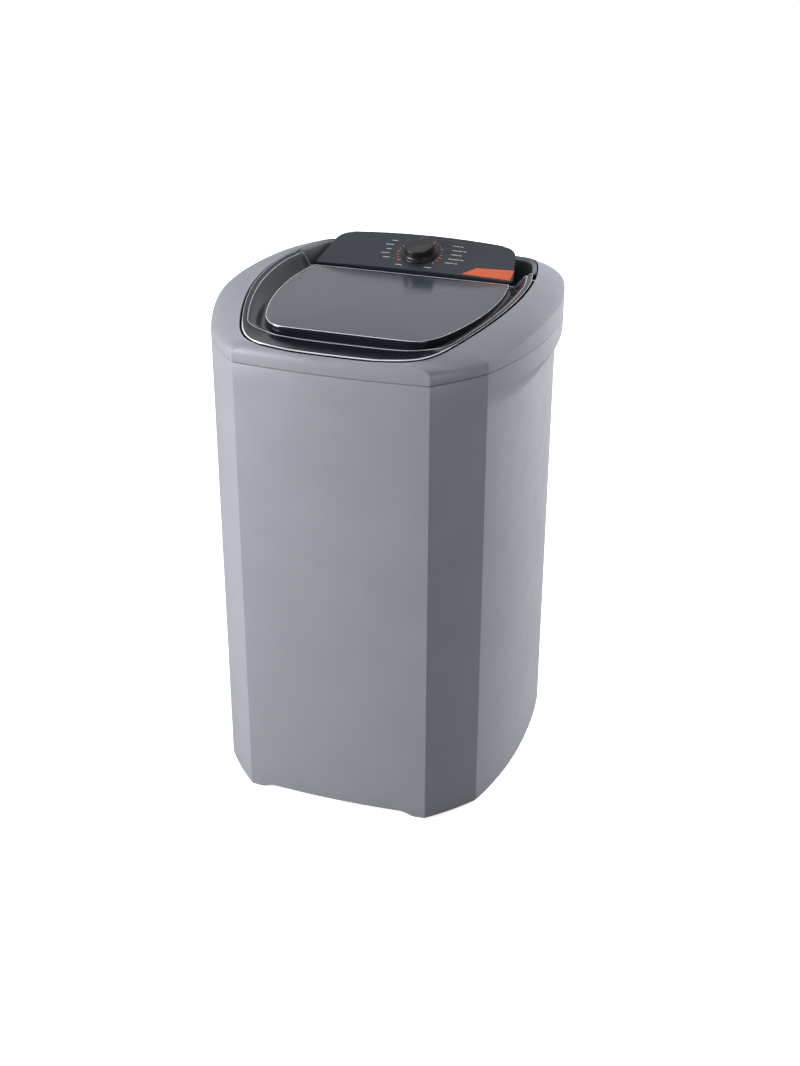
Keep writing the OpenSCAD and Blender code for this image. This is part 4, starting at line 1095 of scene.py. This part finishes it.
def stage_floor():
    """Pale to the eye but throwing little light back up."""
    r = FLOOR_REACH
    mesh = bpy.data.meshes.new("floor")
    mesh.from_pydata([(-r, -r, 0), (r, -r, 0), (r, r, 0), (-r, r, 0)], [], [(0, 1, 2, 3)])
    floor = bpy.data.objects.new("floor", mesh)
    white = plastic("floor_white", (0.80, 0.80, 0.80), 0.8, mottle=0.004, specular=0.1)
    tree = white.node_tree
    glow = tree.nodes["Principled BSDF"]
    glow.inputs["Emission Color"].default_value = PLAIN_WHITE
    glow.inputs["Emission Strength"].default_value = FLOOR_GLOW
    dim = tree.nodes.new("ShaderNodeBsdfDiffuse")
    dim.inputs["Color"].default_value = FLOOR_DIM
    felt, seen = dim.outputs["BSDF"], glow.outputs["BSDF"]
    seen_or_felt(tree, felt, seen, tree.nodes["Material Output"])
    mesh.materials.append(white)
    bpy.context.scene.collection.objects.link(floor)


def lights():
    target = (0, 0, 0.5)
    area_light("key", (-2.9, -2.0, 1.2), target, (1.8, 1.8), 232)
    area_light("rim", (2.2, 3.4, 1.3), target, (2.2, 1.8), 460, gloss=False)
    area_light("fill", (3.0, -2.2, 1.0), target, (2.4, 2.0), 40)
    area_light("top", (-0.3, 0.5, 3.6), target, (2.5, 2.5), 22)


IMAGE_H, FOCAL = 1066, 1600.0  # the image's height and the focal length in its units
CAMERA_PLACE, CAMERA_TARGET = (0.8903, -2.6414, 1.8884), (0, 0.024, 0.4270)
CAMERA_SHIFT = (0.0090, -0.0009)


def camera():
    scene = bpy.context.scene
    data = bpy.data.cameras.new("camera")
    data.sensor_fit = "AUTO"
    data.sensor_width = 36.0
    data.lens = FOCAL / IMAGE_H * data.sensor_width
    data.shift_x, data.shift_y = CAMERA_SHIFT
    o = bpy.data.objects.new("camera", data)
    o.location = CAMERA_PLACE
    o.rotation_euler = (Vector(CAMERA_TARGET) - o.location).to_track_quat("-Z", "Y").to_euler()
    scene.collection.objects.link(o)
    scene.camera = o
    scene.view_settings.view_transform = "Standard"


spigot_place = middle_of("drain_spigot")
floor_height = low("console_housing").z

cabinet(spigot_place)
drain_pocket(spigot_place)
top_ring()
lid_shell()
lid_bosses()
lid_highlight_beads()
control_panel()
console_walls(floor_height)
console_floor(floor_height)
console_rim(floor_height)
badge()
marks()
knob()
dress_nodes()
room()
stage_floor()
lights()
camera()
